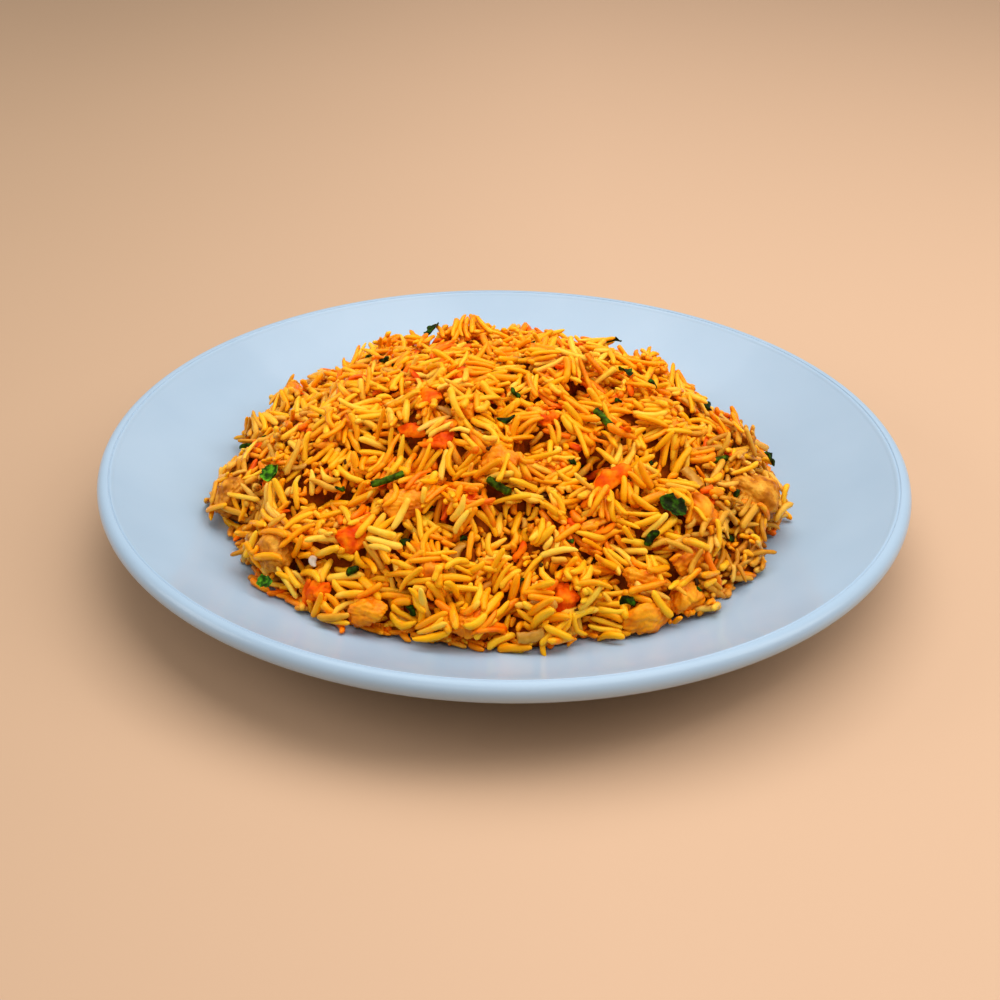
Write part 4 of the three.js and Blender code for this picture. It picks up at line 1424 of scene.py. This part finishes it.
RICE_FINISHES = {
    "rice_golden": grain_finish(
        "golden_rice", linear(246, 132, 0), linear(255, 176, 8), linear(255, 198, 40), 0.36, 0.1
    ),
    "rice_straw": grain_finish(
        "straw_rice", linear(250, 146, 0), linear(255, 184, 24), linear(255, 208, 76), 0.38, 0.08
    ),
    "rice_amber": grain_finish(
        "amber_rice", linear(240, 118, 0), linear(254, 160, 2), linear(255, 184, 16), 0.38, 0.14
    ),
    "rice_stained": grain_finish(
        "stained_rice", linear(242, 96, 0), linear(252, 126, 0), linear(255, 152, 4), 0.38, 0.14
    ),
    "rice_pale": grain_finish(
        "pale_rice", linear(196, 124, 16), linear(226, 162, 40), linear(244, 196, 84), 0.38, 0.08
    ),
    # painted shade: the core's colours are the rice darkened, so that gaps down to it read as deep shadow
    "rice_core": Finish(
        "dark_core_painted_shade", linear(84, 26, 0), linear(144, 60, 0), linear(184, 88, 0),
        0.7, 0.3, 0.5, 1.0, gloss=0.1,
    ),
}
CRUMB_FINISH = Finish(
    "broken_rice", linear(236, 122, 0), linear(252, 158, 4), linear(255, 184, 34),
    0.42, 0.2, 0.5, 1.2, subsurface=0.3, scatter_mm=0.7, reads=("tint",),
)
CHICKEN_FINISH = Finish(
    "spiced_chicken", linear(202, 88, 0), linear(242, 140, 2), linear(252, 172, 26),
    0.4, 0.35, 0.9, 0.7, subsurface=0.25, scatter_mm=1.0, gloss=0.45, patch=2.2,
)
CRUST_FINISH = Finish(
    "pale_crusted_chicken", linear(156, 78, 2), linear(216, 136, 22), linear(240, 180, 66),
    0.42, 0.5, 1.0, 0.9, subsurface=0.2, scatter_mm=1.0, gloss=0.35, patch=2.4,
)
TOMATO_FINISH = Finish(
    "cooked_tomato", linear(206, 52, 0), linear(250, 104, 0), linear(255, 152, 6),
    0.48, 0.3, 0.5, 0.8, gloss=0.12, gloss_tint=(1.0, 0.6, 0.3), patch=2.4, rim_shade_tint=(1.0, 0.5, 0.2),
)
LEAF_FINISH = Finish(
    "chopped_leaf", linear(10, 14, 0), linear(26, 38, 0), linear(50, 96, 4),
    0.5, 0.5, 0.7, 2.2, gloss=0.12, gloss_tint=(0.8, 1.0, 0.4), patch=3.4, rim_shade_tint=(0.7, 0.9, 0.5),
)
BRIGHT_LEAF_FINISH = Finish(
    "bright_leaf", linear(18, 44, 0), linear(44, 98, 2), linear(112, 184, 28),
    0.45, 0.5, 0.7, 2.2, gloss=0.15, gloss_tint=(0.8, 1.0, 0.4), patch=3.4, rim_shade_tint=(0.7, 0.9, 0.5),
)
STALK_FINISH = Finish(
    "cut_stalk", linear(20, 28, 0), linear(52, 66, 2), linear(84, 126, 14),
    0.5, 0.5, 0.6, 2.0, gloss=0.1, gloss_tint=(0.8, 1.0, 0.4), patch=2.6, rim_shade_tint=(0.7, 0.9, 0.5),
)
SPICE_FINISH = Finish(
    "ground_spice", linear(20, 8, 0), linear(60, 24, 2), linear(110, 52, 8),
    0.5, 0.3, 0.4, 1.6, gloss=0.3,
)
PALE_BIT_FINISH = Finish(
    "pale_bit_of_onion", linear(196, 160, 130), linear(226, 206, 186), linear(240, 228, 214),
    0.4, 0.2, 0.4, 1.0, subsurface=0.3, gloss=0.4, rim_shade_tint=(1.0, 0.85, 0.6),
)
ONION_FINISH = Finish(
    "fried_onion", linear(142, 84, 12), linear(194, 132, 36), linear(218, 168, 72),
    0.3, 0.2, 0.3, 0.8, subsurface=0.3, scatter_mm=1.2, coat=0.05,
)


MORSEL_FINISHES = {
    SHREDS.label: TOMATO_FINISH,
    FLECKS.label: LEAF_FINISH,
    SPICES.label: SPICE_FINISH,
    SHALLOTS.label: ONION_FINISH,
    CRUMBS.label: CRUMB_FINISH,
    PALE_BIT.label: PALE_BIT_FINISH,
}


# Each area light's name, place and size in metres, and its watts.
LIGHTS = (
    ("overhead", (0.12, 0.11, 0.95), (1.3, 0.9), 10.5),
    ("right", (0.84, -0.08, 0.70), (0.5, 0.5), 2.9),
    ("left", (-0.95, -0.10, 0.50), (0.5, 0.5), 2.5),
    ("front", (-0.10, -0.80, 0.95), (0.6, 0.6), 1.6),
)


@dataclass(frozen=True)
class Studio:
    """The floor, the soft light and the camera of the photograph."""

    floor_colour: Colour = linear(208, 170, 137)
    # painted shade: the floor's colour far to the left, where less light falls
    floor_shade_colour: Colour = linear(180, 147, 116)
    floor_half: float = 6.0
    shade_fade_from: float = -0.34
    shade_fade_to: float = 0.14
    light_aim: float = 0.03
    distance: float = 0.55
    elevation: float = math.radians(29.56)
    aim_height: float = 0.020
    pan: float = -0.00244
    tilt: float = -0.01779
    roll: float = math.radians(0.94)
    lens: float = 58.0

    def build_floor(self) -> None:
        """A plain pale floor with a faint cloudiness, and painted shade that darkens it towards -x."""
        half = self.floor_half
        mesh = bpy.data.meshes.new("floor")
        corners = [(-half, -half, 0), (half, -half, 0), (half, half, 0), (-half, half, 0)]
        mesh.from_pydata(corners, [], [(0, 1, 2, 3)])
        floor = bpy.data.objects.new("floor", mesh)
        bpy.context.scene.collection.objects.link(floor)
        material, nodes, shader = new_material("pale_floor")
        place = nodes.add("ShaderNodeTexCoord").outputs["Object"]
        across = nodes.add("ShaderNodeSeparateXYZ", {"Vector": place}).outputs["X"]
        # painted shade: across these x values the floor goes from the darker colour on the left to its own
        # colour
        feeds = {"Value": across, "From Min": self.shade_fade_from, "From Max": self.shade_fade_to}
        shade_fade = nodes.add("ShaderNodeMapRange", feeds, interpolation_type="SMOOTHSTEP").outputs["Result"]
        feeds = {0: nodes.noise(place, 2.5), 1: 0.2, 2: shade_fade}
        share = nodes.add("ShaderNodeMath", feeds, operation="MULTIPLY_ADD", use_clamp=True).outputs[0]
        colour = nodes.mixed(share, opaque(self.floor_shade_colour), opaque(self.floor_colour))
        nodes.feed(shader, {"Base Color": colour, "Roughness": 0.75})
        mesh.materials.append(material)

    def build_lights(self) -> None:
        """A soft box overhead, one at either side, a weak one in front, and a pale world."""
        for name, place, size, power in LIGHTS:
            self._area(name, place, size, power)
        world = bpy.data.worlds.new("pale_room")
        world.use_nodes = True
        background = world.node_tree.nodes["Background"]
        Nodes(world.node_tree).feed(background, {"Color": (1.0, 0.97, 0.94, 1.0), "Strength": 0.32})
        bpy.context.scene.world = world
        bpy.context.scene.view_settings.view_transform = "Standard"

    def _area(self, name: str, place: tuple, size: tuple, power: float) -> None:
        """One rectangular area light, aimed at the food."""
        light = bpy.data.lights.new(name, "AREA")
        light.shape = "RECTANGLE"
        light.size, light.size_y = size
        light.energy = power
        holder = bpy.data.objects.new(name, light)
        holder.location = place
        ahead = Vector((0, 0, self.light_aim)) - Vector(place)
        holder.rotation_euler = ahead.to_track_quat("-Z", "Y").to_euler()
        bpy.context.scene.collection.objects.link(holder)

    def build_camera(self) -> None:
        """The camera: on a circle round the plate, then panned, tilted and rolled by small angles."""
        aim = Vector((0, 0, self.aim_height))
        back = Vector((0, -math.cos(self.elevation), math.sin(self.elevation)))
        eye = aim + self.distance * back
        ahead = -back
        right = Vector((1, 0, 0))
        up = right.cross(ahead)
        ahead = (ahead + right * self.pan + up * self.tilt).normalized()
        level = ahead.cross(Vector((0, 0, 1))).normalized()
        upright = level.cross(ahead)
        right = level * math.cos(self.roll) + upright * math.sin(self.roll)
        up = upright * math.cos(self.roll) - level * math.sin(self.roll)
        data = bpy.data.cameras.new("photo_camera")
        data.lens = self.lens
        data.sensor_width = 36.0
        data.clip_start = 0.01
        camera = bpy.data.objects.new("photo_camera", data)
        turn = Matrix((right, up, -ahead)).transposed().to_4x4()
        camera.matrix_world = Matrix.Translation(eye) @ turn
        bpy.context.scene.collection.objects.link(camera)
        bpy.context.scene.camera = camera


def dress(piece: bpy.types.Object, material: bpy.types.Material) -> None:
    """Gives a piece its material."""
    piece.data.materials.clear()
    piece.data.materials.append(material)


BRIGHT_LEAVES = ("herb_leaf_1", "herb_leaf_7")
PALE_CHICKEN = ("chicken_1", "chicken_8", "chicken_9", "chicken_13")
BARE_CHICKEN = "chicken_1"
# Share of each piece's width, about its middle, that grains may not cover.
CLEAR_BARE, CLEAR_PALE, CLEAR_CHICKEN = 0.6, 0.05, 0.14
CLEAR_TOMATO, CLEAR_LEAF, CLEAR_ROD = 0.34, 0.8, 1.0


def build_toppings(skin: HeapSkin, fall: Fall) -> None:
    """Makes every chunk, leaf, stalk and shred that has a CAD node, each in that node's place."""
    chicken, crust, tomato = CHICKEN_FINISH.make(), CRUST_FINISH.make(), TOMATO_FINISH.make()
    leaf, bright_leaf = LEAF_FINISH.make(), BRIGHT_LEAF_FINISH.make()
    stalk, onion = STALK_FINISH.make(), ONION_FINISH.make()
    for number, name in enumerate(sorted(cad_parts)):
        if name.startswith("chicken"):
            pale = name in PALE_CHICKEN
            clear = CLEAR_BARE if name == BARE_CHICKEN else CLEAR_PALE if pale else CLEAR_CHICKEN
            chunk = Chunk(Solid(name, skin), Slot.CHICKEN, float(number), clear, 1.2, 0.6, 0.5)
            dress(chunk.build(fall), crust if pale else chicken)
        elif name.startswith("tomato"):
            chunk = Chunk(Solid(name, skin), Slot.TOMATO, float(number), CLEAR_TOMATO, 1.1, 0.4, 0.08)
            dress(chunk.build(fall), tomato)
        elif name.startswith("herb_leaf"):
            blade = Leaf(Solid(name, skin), Slot.HERB, float(number), CLEAR_LEAF).build(fall)
            dress(blade, bright_leaf if name in BRIGHT_LEAVES else leaf)
        elif name.startswith("herb_stalk"):
            rod = Rod(Solid(name, skin), Slot.HERB, float(number), CLEAR_ROD, 0.06)
            dress(rod.build(fall), stalk)
        elif name.startswith("onion"):
            rod = Rod(Solid(name, skin), Slot.ONION, float(number), CLEAR_ROD, 0.03)
            dress(rod.build(fall), onion)


def main() -> None:
    """Builds and dresses everything in order."""
    logging.basicConfig(level=logging.INFO, format="%(name)s %(message)s")
    studio = Studio()
    studio.build_camera()
    studio.build_floor()
    studio.build_lights()
    plate_shape = PlateShape()
    dress(Plate(plate_shape).build(), Glaze().make())
    skin = HeapSkin(plate_shape)
    heap = RiceHeap(skin, np.random.default_rng(20))
    build_toppings(skin, heap.fall)
    core = heap.build_core()
    dress(core, RICE_FINISHES["rice_core"].make())
    settled = heap.pour()
    heap.drape(settled, np.array([Solid(name, skin).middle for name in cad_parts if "chicken" in name]))
    heap.sprinkle(settled)
    red = np.array([Solid(name, skin).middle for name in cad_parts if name.startswith("tomato")])
    for piece in heap.build_grains(settled, red):
        dress(piece, RICE_FINISHES[piece.name].make())
    for piece in heap.build_morsels(settled):
        dress(piece, MORSEL_FINISHES[piece.name].make())


if __name__ == "__main__":
    main()
